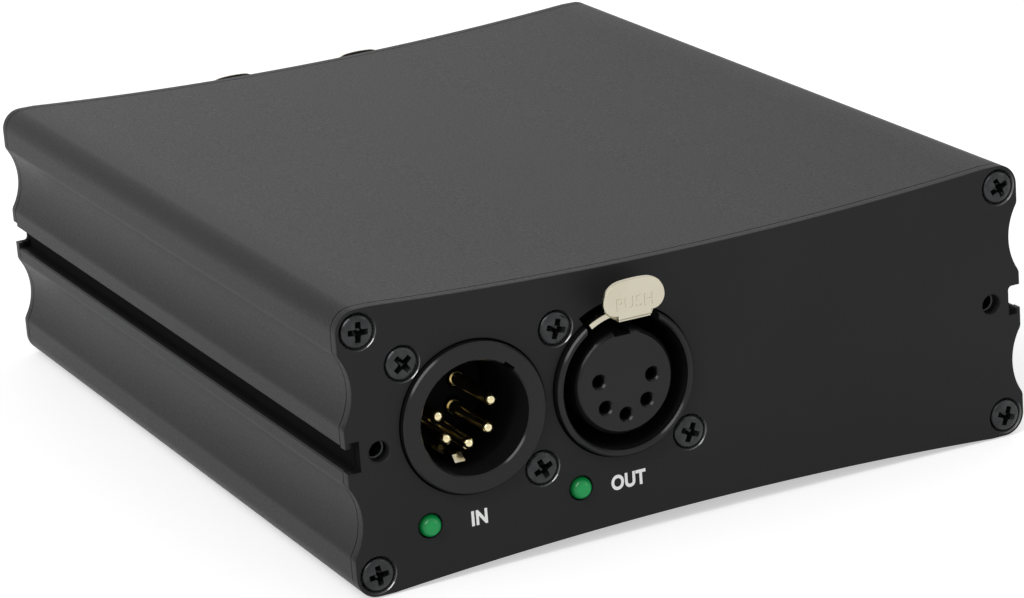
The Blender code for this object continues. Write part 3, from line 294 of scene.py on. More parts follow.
# The outside of a half, from the slot on the right, over the dished top, to the slot on the left,
# and its inside back again.
half_outline = [*scallop(1), (half_width, corner_z), (corner_x, corner_z, 90, 12),
                (dish_edge, mid_height), (0, dish_z, -dish_turn(dish_edge), 40),
                (-corner_x, mid_height), (-corner_x, corner_z, 90, 12), *scallop(-1)]
half_inside = [(-half_width, 1.65), (-55.75, 1.4), (-54.3, 1.4), (-54.3, 4.5), (-wall_x, 4.5),
               (-wall_x, rib_low), (-rib_x, rib_low), (-rib_x, rib_high), (-wall_x, rib_high),
               (-wall_x, block_low), (-block_x, block_low), (-block_x, corner_z - channel_gap),
               (channel_mouth - corner_x, corner_z - channel_gap),
               (-corner_x, corner_z, -channel_turn, 20), (-block_x, corner_z + channel_gap),
               (-block_x, block_high), (0, dish_z - top_wall, dish_turn(block_x), 24),
               (block_x, corner_z + channel_gap),
               (corner_x - channel_mouth, corner_z + channel_gap),
               (corner_x, corner_z, -channel_turn, 20), (block_x, corner_z - channel_gap),
               (block_x, block_low), (wall_x, block_low), (wall_x, rib_high), (rib_x, rib_high),
               (rib_x, rib_low), (wall_x, rib_low), (wall_x, 7.2), (fixing_rib, 5.2),
               (fixing_rib, channel_gap), (fixing_x - channel_mouth, channel_gap),
               (fixing_x, 0, -channel_turn, 20), (fixing_rib, -channel_gap), (fixing_rib, -2.2),
               (49.2, -4.2), (slot_floor, -4.2), (slot_floor, 2.2), (55.75, 2.2)]
upright = Matrix.Translation((0, 0, mid_height * mm))
turned_over = upright @ Matrix.Rotation(math.pi, 4, "Y")
for name, node, place in (("upper_case_half", "upper_shell", upright),
                          ("lower_case_half", "lower_shell", turned_over)):
    half = bar(drawn((half_width, slot_lip), *half_outline, *half_inside), -case_end, case_end)
    fitted(name, half, place, black_anodised, "case", node, crease=28.0)


# Circuit board and its chips
#
# A green glass-fibre board that slides in the grooves of the extrusion, with a processor in the
# middle and one line driver behind each connector, soldered flat on its upper side.

def painted(node, finish):
    """Give a carried-over node its finish."""
    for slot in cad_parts[node].material_slots:
        slot.material = finish


solder_mask = skin("solder_mask", (0.008, 0.09, 0.035), (0.014, 0.13, 0.05), rough=(0.22, 0.34),
                   fineness=900.0, relief=0.12, clouds=60.0)
mask_tree = solder_mask.node_tree
tracks = mask_tree.nodes.new("ShaderNodeTexBrick")
tracks.inputs["Scale"].default_value = 160.0
tracks.inputs["Color1"].default_value = (0.008, 0.09, 0.035, 1)
tracks.inputs["Color2"].default_value = (0.010, 0.10, 0.04, 1)
tracks.inputs["Mortar"].default_value = (0.03, 0.21, 0.09, 1)
tracks.inputs["Mortar Size"].default_value = 0.03
mask_tree.links.new(mask_tree.nodes["Texture Coordinate"].outputs["Object"], tracks.inputs["Vector"])
mask_tree.links.new(tracks.outputs["Color"], mask_tree.nodes["Principled BSDF"].inputs["Base Color"])
painted("circuit_board", solder_mask)

chip_epoxy = skin("chip_epoxy", (0.012, 0.012, 0.013), (0.022, 0.022, 0.023), rough=(0.5, 0.66),
                  fineness=2600.0, relief=0.4, clouds=120.0)
for node in ("processor", "input_line_receiver", "front_output_line_driver",
             "rear_output_1_line_driver", "rear_output_2_line_driver"):
    painted(node, chip_epoxy)


# Connector screws and corner screws
#
# Small steel screws with an oval head and a cross recess, blackened in a bath that leaves the
# heads mottled. Two hold each connector and four hold each end panel, in cone sinks of the panel.

# Connectors stand in columns at one pitch, a little above mid height, with a screw on two sides.
panel_face = overall_depth / 2
connector_pitch = 24.1
connector_z = 1.9
screw_x, screw_z = 10.25, 10.15
connectors = {"input": ("front", -1.5 * connector_pitch),
              "front_output": ("front", -0.5 * connector_pitch),
              "rear_output_1": ("rear", -0.5 * connector_pitch),
              "rear_output_2": ("rear", 0.5 * connector_pitch)}
head_depth = 0.1
# How far each cross happened to stop, in degrees against the clock.
connector_crosses = {"input": (40, 23), "front_output": (-17, -24), "rear_output_1": (12, -38),
                     "rear_output_2": (31, -9)}
corner_crosses = {"front": (-5, 25, 7, -20), "rear": (18, -33, 41, -12)}


def turned(profile, steps):
    """Solid of revolution about Y of a profile of (radius, y) points, from axis to axis or closed."""
    solid = bmesh.new()
    verts = [solid.verts.new((0, y, radius)) for radius, y in profile]
    edges = [solid.edges.new(pair) for pair in zip(verts, verts[1:])]
    if profile[0][0] > 0:
        edges.append(solid.edges.new((verts[-1], verts[0])))
    bmesh.ops.spin(solid, geom=verts + edges, cent=(0, 0, 0), axis=(0, 1, 0),
                   angle=math.radians(360), steps=steps, use_merge=True)
    bmesh.ops.remove_doubles(solid, verts=solid.verts[:], dist=0.0005)
    bmesh.ops.recalc_face_normals(solid, faces=solid.faces[:])
    return solid


def moved(solid, x=0.0, y=0.0, z=0.0, turn=0.0):
    """Turn a solid about Y by degrees, then move it."""
    solid.transform(Matrix.Translation((x, y, z)) @ Matrix.Rotation(math.radians(turn), 4, "Y"))
    return solid


def carved(solid, tool, how="DIFFERENCE"):
    """Exact Boolean of two solids; both are used up."""
    holders = []
    for shape in (solid, tool):
        mesh = bpy.data.meshes.new("blank")
        shape.to_mesh(mesh)
        shape.free()
        holder = bpy.data.objects.new("blank", mesh)
        bpy.context.scene.collection.objects.link(holder)
        holders.append(holder)
    step = holders[0].modifiers.new("carve", "BOOLEAN")
    step.operation = how
    step.solver = "EXACT"
    step.object = holders[1]
    result = bmesh.new()
    result.from_object(holders[0], bpy.context.evaluated_depsgraph_get())
    for holder in holders:
        bpy.data.meshes.remove(holder.data)
    bmesh.ops.remove_doubles(result, verts=result.verts[:], dist=0.0004)
    return result


def cross_recess():
    """Tool for a cross recess: four arms with blunt ends that narrow to a point below."""
    arm_end, mouth, floor_y, point_drop = 1.65, -0.6, 1.0, 0.45
    arm = [(0.47, 0.62), (0.45, 1.6), (0, 1.6, 180, 6), (-0.47, 0.62)]
    strokes = []
    for quarter in range(4):
        strokes += arm
        arm = [(-stroke[1], stroke[0], *stroke[2:]) for stroke in arm]
    cross = drawn(*strokes)
    for vert in cross.verts:
        reach = max(abs(vert.co.x), abs(vert.co.z))
        if reach > arm_end - 0.04:
            vert.co *= arm_end / reach
    recess = bar(cross, mouth, floor_y)
    for vert in recess.verts:
        if vert.co.y > floor_y - 0.1:
            vert.co.x *= 0.5
            vert.co.z *= 0.5
    floor = [face for face in recess.faces if face.normal.y > 0.9]
    bottom = bmesh.ops.poke(recess, faces=floor)["verts"]
    bmesh.ops.translate(recess, vec=(0, point_drop, 0), verts=bottom)
    return recess


def screw(length):
    """Oval head with its recess, on a plain shank."""
    body = turned([(0, -0.42), (0.9, -0.4), (1.6, -0.34), (2.1, -0.22), (2.18, -0.17), (2.41, 0.13),
                   (2.45, 0.32), (1.2, 1.45), (1.2, length - 0.6), (0.6, length), (0, length)], steps=48)
    head = carved(body, cross_recess())
    bmesh.ops.triangulate(head, faces=head.faces[:])
    return head


def at_panel(end, x, z=connector_z, depth=0.0):
    """Place on an end panel: x to the right and z up from its middle, depth into the case."""
    front = Matrix.Translation((x * mm, (depth - panel_face) * mm, (mid_height + z) * mm))
    return front if end == "front" else Matrix.Rotation(math.pi, 4, "Z") @ front


black_oxide = skin("black_oxide", (0.002, 0.003, 0.003), (0.048, 0.049, 0.051), rough=(0.2, 0.34),
                   fineness=2000.0, relief=0.6, clouds=600.0,
                   levels={"Metallic": 0.8, "Coat Weight": 0.2, "Coat Roughness": 0.14})
for name, (end, x) in connectors.items():
    for hand, sign, turn in zip(("upper", "lower"), (-1, 1), connector_crosses[name]):
        place = at_panel(end, x + screw_x * sign, connector_z - screw_z * sign, head_depth)
        fitted(f"{name}_{hand}_fixing", moved(screw(8.0), turn=-turn), place, black_oxide, "case",
               f"{name}_{hand}_screw", crease=24.0)
for end in ("front", "rear"):
    corners = [(level, z, hand, x) for level, z in (("top", corner_z), ("bottom", -corner_z))
               for hand, x in (("left", -corner_x), ("right", corner_x))]
    for (level, z, hand, x), turn in zip(corners, corner_crosses[end]):
        fitted(f"{end}_{level}_{hand}_corner_fixing", moved(screw(10.0), turn=-turn),
               at_panel(end, x, z, head_depth), black_oxide, "case",
               f"{end}_{level}_{hand}_screw", crease=24.0)


# Input connector
#
# A 5-pin plug in a black moulded shell with a round cup. Gold-plated turned pins stand on a
# carrier at the bottom of the cup, and a bent nickel strip touches the cable plug's shell.

# The barrel steps out behind the panel, and its foot reaches down to the board.
barrel_radius, step_y = 11.9, 1.9
board_drop = -15.2
# Centres of a socket's contacts; a plug's pins mirror them.
contact_circle, contact_drop = 4.43, -0.45
contact_places = [(contact_circle * math.cos(math.radians(angle)),
                   contact_circle * math.sin(math.radians(angle)) + contact_drop)
                  for angle in (9.6, -41.5, -92.6, -141.0, 162.3)]
pin_places = [(-x, z) for x, z in contact_places]


def block(x, y, z):
    """Rectangular solid between three spans."""
    solid = bmesh.new()
    bmesh.ops.create_cube(solid, size=1)
    for vert in solid.verts:
        vert.co = (x[vert.co.x > 0], y[vert.co.y > 0], z[vert.co.z > 0])
    return solid


def lug(sign):
    """Screw lug on a connector's shell, behind the panel."""
    reach, half = math.hypot(screw_x, screw_z), 2.8
    solid = bar(drawn((9.1, -half), (reach, -half), (reach, 0, 180, 16), (9.1, half)), step_y, 8.5)
    return moved(solid, turn=-math.degrees(math.atan2(-screw_z * sign, screw_x * sign)))


def connector_shell(rim, stand, back, hollows, roof=None):
    """Moulded shell with its chamfered rim, foot, roof and two lugs, less its hollows."""
    shell = turned([(0, -stand), (rim - 0.27, -stand), (rim - 0.02, 0.3 - stand),
                    (rim, 0.36 - stand), (rim, step_y), (barrel_radius, step_y),
                    (barrel_radius, back), (0, back)], steps=96)
    shell = carved(shell, block((-9, 9), (9.5, back - 1), (board_drop, -5.95)), "UNION")
    if roof:
        shell = carved(shell, roof, "UNION")
    for sign in (-1, 1):
        shell = carved(shell, lug(sign), "UNION")
        screw_hole = turned([(0, 0), (1.5, 0), (1.5, 9.5), (0, 9.5)], steps=24)
        shell = carved(shell, moved(screw_hole, screw_x * sign, 0, -screw_z * sign))
    for hollow in hollows:
        shell = carved(shell, hollow)
    return shell


def soldered(profile, x, z, back):
    """Turned contact at (x, z), with a thin tail that bends down to the board past its back."""
    tail_radius, bend_radius = 0.4, 1.2
    tail_y = back + (3.2 if z > 0 else 1.0)
    contact = turned(profile + [(tail_radius, tail_y), (0, tail_y)], steps=32)
    middle = [vert for vert in contact.verts if vert.co.y > tail_y - 0.1
              and abs(vert.co.x) + abs(vert.co.z) < 0.01]
    bmesh.ops.dissolve_verts(contact, verts=middle)
    moved(contact, x, 0, z)
    end = max(contact.faces, key=lambda face: face.calc_center_median().y)
    bend = bmesh.ops.spin(contact, geom=[end], cent=(x, tail_y, z - bend_radius), axis=(1, 0, 0),
                          angle=math.radians(-90), steps=6)
    tip = [item for item in bend["geom_last"] if isinstance(item, bmesh.types.BMFace)]
    verts = points(bmesh.ops.extrude_face_region(contact, geom=tip)["geom"])
    drop = board_drop - min(vert.co.z for vert in verts)
    bmesh.ops.translate(contact, vec=(0, 0, drop), verts=verts)
    bmesh.ops.delete(contact, geom=[end] + tip, context="FACES_ONLY")
    bmesh.ops.recalc_face_normals(contact, faces=contact.faces[:])
    return contact


def round_end(radius, tip, steps=6):
    """Profile of a round nose from its tip at the axis to its full radius."""
    angles = [math.radians(90 * step / steps) for step in range(steps + 1)]
    return [(radius * math.sin(angle), tip + radius * (1 - math.cos(angle))) for angle in angles]


def reach_group():
    """Rises from nought to its most between two distances from the case's mid depth."""
    group, given, out = shader_group("reach_mask", [("Place", "Vector"), ("Start", "Float"),
                                                    ("Full", "Float"), ("Most", "Float")],
                                     ["Share"])
    parts = group.nodes.new("ShaderNodeSeparateXYZ")
    group.links.new(given["Place"], parts.inputs[0])
    reach = group.nodes.new("ShaderNodeMath")
    reach.operation = "ABSOLUTE"
    group.links.new(parts.outputs["Y"], reach.inputs[0])
    span = group.nodes.new("ShaderNodeMapRange")
    group.links.new(reach.outputs[0], span.inputs["Value"])
    group.links.new(given["Start"], span.inputs["From Min"])
    group.links.new(given["Full"], span.inputs["From Max"])
    group.links.new(given["Most"], span.inputs["To Max"])
    group.links.new(span.outputs["Result"], out["Share"])
    return group


reach_mask = reach_group()


def reach_in(tree, start, full, most):
    """The reach mask in a material, between two distances ahead of the panel's outer face."""
    mask = tree.nodes.new("ShaderNodeGroup")
    mask.node_tree = reach_mask
    mask.inputs["Start"].default_value = (panel_face + start) * mm
    mask.inputs["Full"].default_value = (panel_face + full) * mm
    mask.inputs["Most"].default_value = most
    tree.links.new(tree.nodes["Texture Coordinate"].outputs["Object"], mask.inputs["Place"])
    return mask.outputs["Share"]


# The mould was polished where the shells stand ahead of the panels.
moulded_black = skin("moulded_black", (0.006, 0.006, 0.007), (0.011, 0.011, 0.012),
                     rough=(0.4, 0.55), fineness=2400.0, relief=0.25, clouds=90.0,
                     levels={"Specular IOR Level": 0.02, "Coat Roughness": 0.2})
moulded_tree = moulded_black.node_tree
moulded_tree.links.new(reach_in(moulded_tree, 0.05, 0.45, 0.45),
                       moulded_tree.nodes["Principled BSDF"].inputs["Coat Weight"])

cup = turned([(0, -2), (8.72, -2), (8.72, -1), (8.48, -0.71), (8.46, -0.65), (8.46, 21), (0, 21)],
             steps=96)
key = moved(block((-0.95, 0.95), (-2, 14.2), (7.46, 9.01)), turn=41.0)
input_place = at_panel(*connectors["input"])
fitted("input_shell", connector_shell(11.25, 1.0, 20.0, [carved(cup, key, "UNION")]), input_place,
       moulded_black, "case", "input_housing", crease=20.0)

carrier = turned([(0, 14.2), (8.0, 14.2), (8.16, 14.36), (8.16, 20.3), (9.36, 20.3), (9.36, 21.5),
                  (0, 21.5)], steps=96)
for x, z in pin_places:
    hole = turned([(0, 13), (1.6, 13), (1.6, 14.2), (1.5, 14.35), (1.5, 16.2), (1.25, 16.2),
                   (1.25, 22.5), (0, 22.5)], steps=32)
    carrier = carved(carrier, moved(hole, x, 0, z))
fitted("input_pin_carrier", carrier, input_place, moulded_black, "case", "input_carrier",
       crease=26.0)

gold_plate = skin("gold_plate", (0.72, 0.62, 0.36), (0.80, 0.71, 0.45), rough=(0.12, 0.24),
                  fineness=1800.0, relief=0.12, clouds=400.0, levels={"Metallic": 1.0})
for number, (x, z) in enumerate(pin_places, 1):
    pin = soldered(round_end(0.95, 2.0) + [(0.95, 13.9), (1.1, 13.9), (1.2, 14.0), (1.2, 15.9),
                                           (0.95, 15.9), (0.95, 21.2), (0.4, 21.2)], x, z, 21.8)
    fitted(f"input_turned_pin_{number}", pin, input_place, gold_plate, "case",
           f"input_pin_{number}")

nickel_plate = skin("nickel_plate", (0.49, 0.45, 0.35), (0.57, 0.54, 0.43), rough=(0.16, 0.28),
                    fineness=900.0, relief=0.10, clouds=200.0, stretch=(1, 1, 6),
                    levels={"Metallic": 1.0})
strip = bmesh.new()
path = [(3.2, -7.62), (4.1, -6.7), (4.25, -6.63), (4.45, -6.62), (4.7, -6.68), (5.6, -7.15),
        (6.6, -7.5), (7.4, -7.62), (13.9, -7.62)]
verts = [strip.verts.new((-2.0, y, z)) for y, z in path]
edges = [strip.edges.new(pair) for pair in zip(verts, verts[1:])]
grown = bmesh.ops.extrude_edge_only(strip, edges=edges)["geom"]
bmesh.ops.translate(strip, vec=(1.6, 0, 0), verts=points(grown))
bmesh.ops.recalc_face_normals(strip, faces=strip.faces[:])
bmesh.ops.solidify(strip, geom=strip.faces[:], thickness=0.29)
bmesh.ops.recalc_face_normals(strip, faces=strip.faces[:])
fitted("input_earth_strip", strip, input_place, nickel_plate, "case", "input_earth_contact",
       crease=20.0)


# Output connectors
#
# Three 5-pole sockets. Each has a black moulded shell with a tunnel over its bore for the latch,
# and a round insert whose stepped holes hold turned gold sleeves with their tails in the board.

# The latch's arch lies round the bore, and turns on trunnions at its ends.
arch_radius, arch_half_turn = 11.15, 56.0
hinge_y, hinge_z = 7.0, arch_radius * math.cos(math.radians(arch_half_turn))


def arched(section, start, sweep, steps):
    """Solid swept about Y from a section of (radius, y) corners, by degrees from the top."""
    solid = bmesh.new()
    solid.faces.new([solid.verts.new((0, y, radius)) for radius, y in section])
    bmesh.ops.rotate(solid, cent=(0, 0, 0), matrix=Matrix.Rotation(math.radians(start), 3, "Y"),
                     verts=solid.verts[:])
    bmesh.ops.spin(solid, geom=solid.faces[:], cent=(0, 0, 0), axis=(0, 1, 0),
                   angle=math.radians(sweep), steps=steps)
    bmesh.ops.recalc_face_normals(solid, faces=solid.faces[:])
    return solid


def hinge_rod(x, radius, length):
    """Round rod on the latch's hinge line, with its middle at x."""
    rod = bmesh.new()
    across = Matrix.Translation((x, hinge_y, hinge_z)) @ Matrix.Rotation(math.pi / 2, 4, "Y")
    bmesh.ops.create_cone(rod, cap_ends=True, segments=24, radius1=radius, radius2=radius,
                          depth=length, matrix=across)
    return rod


def output_shell():
    """Shell with a bore, a tunnel for the tab, a slot for the arch and bearings for the hinge."""
    bore = turned([(0, -2.2), (10.36, -2.2), (10.36, -1.2), (10.12, -0.91), (10.1, -0.85),
                   (10.1, 15), (8.2, 15), (8.2, 22), (0, 22)], steps=96)
    tunnel = block((-5.806, 5.806), (-2.2, 10.2), (7.575, 13.4))
    slot = arched([(9.8, 4.4), (11.5, 4.4), (11.5, 9.84), (9.8, 9.84)], -62, 124, 48)
    roof = block((-7.206, 7.206), (step_y, 11.6), (6.06, 14.9))
    return connector_shell(11.1, 1.2, 21.0, [bore, tunnel, slot, hinge_rod(0, 1.0, 23.8)], roof)


def output_insert():
    """Round insert with a keyway and five stepped holes."""
    body = turned([(0, -0.7), (7.33, -0.7), (7.36, -0.68), (7.86, -0.06), (7.9, 0.02), (7.9, 21.3),
                   (9.4, 21.3), (9.4, 22.5), (0, 22.5)], steps=96)
    body = carved(body, block((-1.3, 1.3), (-1.7, 15), (7.1, 8.9)))
    for x, z in contact_places:
        hole = turned([(0, -1.7), (1.2, -1.7), (1.2, -0.7), (0.95, -0.4), (0.95, 0.6), (1.55, 0.6),
                       (1.55, 23.5), (0, 23.5)], steps=32)
        body = carved(body, moved(hole, x, 0, z))
    return body


outputs = {name: spot for name, spot in connectors.items() if name != "input"}
for name, (end, x) in outputs.items():
    fitted(f"{name}_shell", output_shell(), at_panel(end, x), moulded_black, "case",
           f"{name}_housing", crease=20.0)
    fitted(f"{name}_socket", output_insert(), at_panel(end, x), moulded_black, "case",
           f"{name}_insert", crease=20.0)

for name, (end, column) in outputs.items():
    for number, (x, z) in enumerate(contact_places, 1):
        sleeve = soldered([(0, 13), (0.85, 13), (0.85, 4.15), (1.0, 4.0), (1.2, 4.0),
                           (1.25, 4.05), (1.25, 16), (0.4, 16)], x, z, 22.8)
        node = f"{name}_contact_{number}" if end == "front" else None
        fitted(f"{name}_sleeve_{number}", sleeve, at_panel(end, column), gold_plate, "case", node)


# Latches and their springs
#
# Each socket's latch is pressed from one nickel-plated strip: an arch over the bore, a yoke with
# two trunnions, a hook and an oval push tab. A small coil spring stands on it under the roof.

# The tongue that carries the tab, in degrees from the top of the arch.
tongue_start, tongue_turn = -29, 54
tab_face = -5.14


def lettering(word, size, boldness, depth):
    """A word as a thin solid in millimetres, standing upright and facing forwards."""
    text = bpy.data.curves.new(word, "FONT")
    text.body = word
    text.size = size
    text.offset = boldness
    text.extrude = depth / 2
    text.space_character = 1.07
    text.align_x = "CENTER"
    text.align_y = "CENTER"
    text.resolution_u = 6
    holder = bpy.data.objects.new(word, text)
    solid = bmesh.new()
    mesh = bpy.data.meshes.new_from_object(holder)
    solid.from_mesh(mesh)
    bpy.data.objects.remove(holder)
    solid.transform(Matrix.Rotation(math.pi / 2, 4, "X"))
    bmesh.ops.remove_doubles(solid, verts=solid.verts[:], dist=0.0004)
    bmesh.ops.recalc_face_normals(solid, faces=solid.faces[:])
    return solid


def push_tab():
    """Flat oval tab with a narrow foot, its front edge rounded over."""
    tab = bar(drawn((0, 10.95), (2.55, 10.95), (2.55, 11.1, 90, 3), (2.7, 11.6054),
                    (2.85, 13.7, 94.1, 12), (1.95, 13.7, 84.13, 12), (0, -5.26, 11.74, 6),
                    (-1.95, 13.7, 84.13, 12), (-2.85, 13.7, 94.1, 12), (-2.7, 11.1),
                    (-2.55, 11.1, 90, 3)), tab_face, -4.55)
    rim = [edge for edge in tab.edges if all(vert.co.y < tab_face + 0.04 for vert in edge.verts)]
    bmesh.ops.bevel(tab, geom=rim, offset=0.22, offset_type="OFFSET", segments=3, profile=0.5,
                    affect="EDGES", material=-1)
    return tab


def push_latch():
    """Latch around the connector's axis, its tab at the front."""
    latch = arched([(10.65, 5), (arch_radius, 5), (arch_radius, 9), (10.65, 9)], -arch_half_turn,
                   2 * arch_half_turn, 112)
    front = [face for face in latch.faces if face.normal.y < -0.9
             and tongue_start < math.degrees(math.atan2(*face.calc_center_median().xz))
             < tongue_start + tongue_turn]
    grown = bmesh.ops.extrude_face_region(latch, geom=front)["geom"]
    bmesh.ops.translate(latch, vec=(0, -6.4, 0), verts=points(grown))
    bmesh.ops.delete(latch, geom=[face for face in front if face.is_valid], context="FACES_ONLY")
    bmesh.ops.recalc_face_normals(latch, faces=latch.faces[:])

    curl = arched([(10.9, -1.4), (11.3, -1.4), (11.4, -1.3), (11.4, -1.0), (11.3, -0.9),
                   (10.9, -0.9)], tongue_start, tongue_turn, tongue_turn)
    neck = block((-2.55, 2.55), (-4.85, -1.15), (10.725, 11.225))
    hook = bar(drawn((-3.0, 10.9), (-4.8, 9.6), (-5.5, 9.6), (-5.5, 10.9)), -1.6, 1.6)
    hook.transform(Matrix.Rotation(-math.pi / 2, 4, "Z"))
    trunnions = [hinge_rod(9.368 * sign, 0.7, 1.536) for sign in (-1, 1)]
    for part in (curl, push_tab(), neck, hook, *trunnions):
        latch = carved(latch, part, "UNION")
    return latch


def coil_spring():
    """Three and a quarter turns of round wire between the arch and the roof."""
    turns, steps, rise, seat_y, seat_z = 3.25, 104, 1.23, 3.5, 11.66
    wire = bmesh.new()
    start = Matrix.Translation((1.2, seat_y, seat_z)) @ Matrix.Rotation(math.pi / 2, 4, "X")
    bmesh.ops.create_circle(wire, cap_ends=True, segments=12, radius=0.2, matrix=start)
    bmesh.ops.spin(wire, geom=wire.faces[:], cent=(0, seat_y, 0), axis=(0, 0, 1),
                   dvec=(0, 0, rise / steps), angle=math.radians(360 * turns), steps=steps)
    bmesh.ops.recalc_face_normals(wire, faces=wire.faces[:])
    return wire


spring_steel = skin("spring_steel", (0.42, 0.42, 0.43), (0.52, 0.52, 0.53), rough=(0.22, 0.34),
                    fineness=2000.0, relief=0.1, clouds=300.0, levels={"Metallic": 1.0})
for name, (end, x) in outputs.items():
    place = at_panel(end, x)
    fitted(f"{name}_push_latch", push_latch(), place, nickel_plate, f"{name}_lever",
           f"{name}_latch", crease=24.0)
    word = moved(lettering("PUSH", 2.5, 0.02, 0.12), 0.1, tab_face, 13.2)
    fitted(f"{name}_push_word", word, place, nickel_plate, f"{name}_lever", None, crease=24.0)
    fitted(f"{name}_coil_spring", coil_spring(), place, spring_steel, "case",
           f"{name}_latch_spring", crease=40.0)


# Indicator lamps
#
# A 3 mm lamp of green epoxy beside each connector: a domed lens with a flange behind the panel,
# over a small bright cup, and two tinned leads bent down behind it.

lamp_x, lamp_z = -7.95, -12.7

# The lens's emission strength below is painted glow, though no lamp lights it.
green_epoxy = skin("green_epoxy", (0.001, 0.07, 0.014), (0.002, 0.12, 0.026), rough=(0.3, 0.4),
                   fineness=900.0, relief=0.05, clouds=500.0,
                   levels={"Specular IOR Level": 0.02, "Coat Weight": 0.18, "Coat IOR": 2.0,
                           "Coat Roughness": 0.1, "Emission Strength": 0.28})
# Painted glow: the unlit lens is given emission, coloured brighter towards the tip of the dome and darkest
# beside the panel.
lens_tree = green_epoxy.node_tree
painted_lens_glow = lens_tree.nodes.new("ShaderNodeMix")
painted_lens_glow.data_type = "RGBA"
painted_lens_glow.inputs["A"].default_value = (0, 0.01, 0.003, 1)
painted_lens_glow.inputs["B"].default_value = (0.01, 0.62, 0.16, 1)
lens_tree.links.new(reach_in(lens_tree, 0.05, 1.05, 1.0), painted_lens_glow.inputs["Factor"])
lens_tree.links.new(painted_lens_glow.outputs["Result"],
                    lens_tree.nodes["Principled BSDF"].inputs["Emission Color"])
for name, (end, x) in connectors.items():
    place = at_panel(end, x + lamp_x, lamp_z)
    lens = turned(round_end(1.68, -1.28, 12) + [(1.68, 4.2), (1.95, 4.2), (1.95, 5.2), (0, 5.2)], steps=48)
    fitted(f"{name}_lamp_lens", lens, place, green_epoxy, "case", f"{name}_lamp")
    cup_wall = turned([(0, 2.2), (0.45, 2.2), (0.85, 1.3), (0.95, 1.3), (0.95, 3.4), (0, 3.4)], steps=32)
    fitted(f"{name}_lamp_cup", cup_wall, place, spring_steel, "case", None)
    for hand, sign in (("left", -1), ("right", 1)):
        width = (1.27 * sign - 0.25, 1.27 * sign + 0.25)
        lead = carved(block(width, (3.6, 8.6), (-0.25, 0.25)),
                      block(width, (8.1, 8.6), (-0.6, 0.1)), "UNION")
        fitted(f"{name}_lamp_lead_{hand}", lead, place, spring_steel, "case", None)


# USB inlet
#
# A type B inlet stands on the board behind its window in the rear panel: a folded steel shell
# round a black carrier, whose tongue carries two gold contacts above and two below.

usb_x, usb_z = -1.5 * connector_pitch, -7.65

folded_steel = skin("folded_steel", (0.50, 0.50, 0.51), (0.60, 0.60, 0.61), rough=(0.24, 0.36),
                    fineness=700.0, relief=0.08, clouds=120.0, stretch=(1, 8, 1),
                    levels={"Metallic": 1.0})
painted("usb_shell", folded_steel)
painted("usb_carrier", moulded_black)
for level, z in (("upper", 1.68), ("lower", -1.68)):
    for hand, x in (("left", -1.25), ("right", 1.25)):
        strip = block((x - 0.5, x + 0.5), (1.9, 8.9), (z - 0.1, z + 0.1))
        bmesh.ops.bevel(strip, geom=strip.edges[:], offset=0.05, offset_type="OFFSET", segments=2,
                        profile=0.5, affect="EDGES", material=-1)
        fitted(f"usb_contact_{level}_{hand}", strip, at_panel("rear", usb_x, usb_z), gold_plate,
               "case", None)


# End panels
#
# Two aluminium plates with the outline of the extrusion, blanked, countersunk and anodised with
# it. Each is pierced for its connectors and lamps, and for a fixing hole at mid height each side.

# Tools for a hole run from well ahead of the plate to well behind it.
tool_front, tool_back = -1.0, panel_thickness + 1.0
connector_sink = [(2.82, 0), (2.6, 0.26), (2.6, 0.45), (1.6, 1.45)]
corner_sink = [(2.87, 0), (2.62, 0.3), (2.62, 0.45), (1.6, 1.45)]


def pierced(x, z, rings, steps=48):
    """Tool for a round hole at (x, z) through (radius, depth) rings of the panel."""
    first, last = rings[0][0], rings[-1][0]
    profile = [(0, tool_front), (first, tool_front), *rings, (last, tool_back), (0, tool_back)]
    return moved(turned(profile, steps), x, 0, z)


def latch_opening(x):
    """Tool for the round opening of an output, let out above for its latch."""
    radius, let_out, side = 11.4, 12.55, 59.2
    across, up = math.cos(math.radians(side)), math.sin(math.radians(side))
    line = drawn((radius * across, radius * up), (let_out * across, let_out * up),
                 (0, 0, 2 * (90 - side), 24), (-radius * across, radius * up), (0, 0, 295, 80))
    return moved(bar(line, tool_front, tool_back), x, 0, connector_z)


def usb_window():
    """Tool for the window of the inlet, with rounded corners."""
    line = drawn((0, -5.95), (5.7, -5.95), (5.7, -5.35, 90, 5), (6.3, 5.35), (5.7, 5.35, 90, 5),
                 (-5.7, 5.95), (-5.7, 5.35, 90, 5), (-6.3, -5.35), (-5.7, -5.35, 90, 5))
    return moved(bar(line, tool_front, tool_back), usb_x, 0, usb_z)


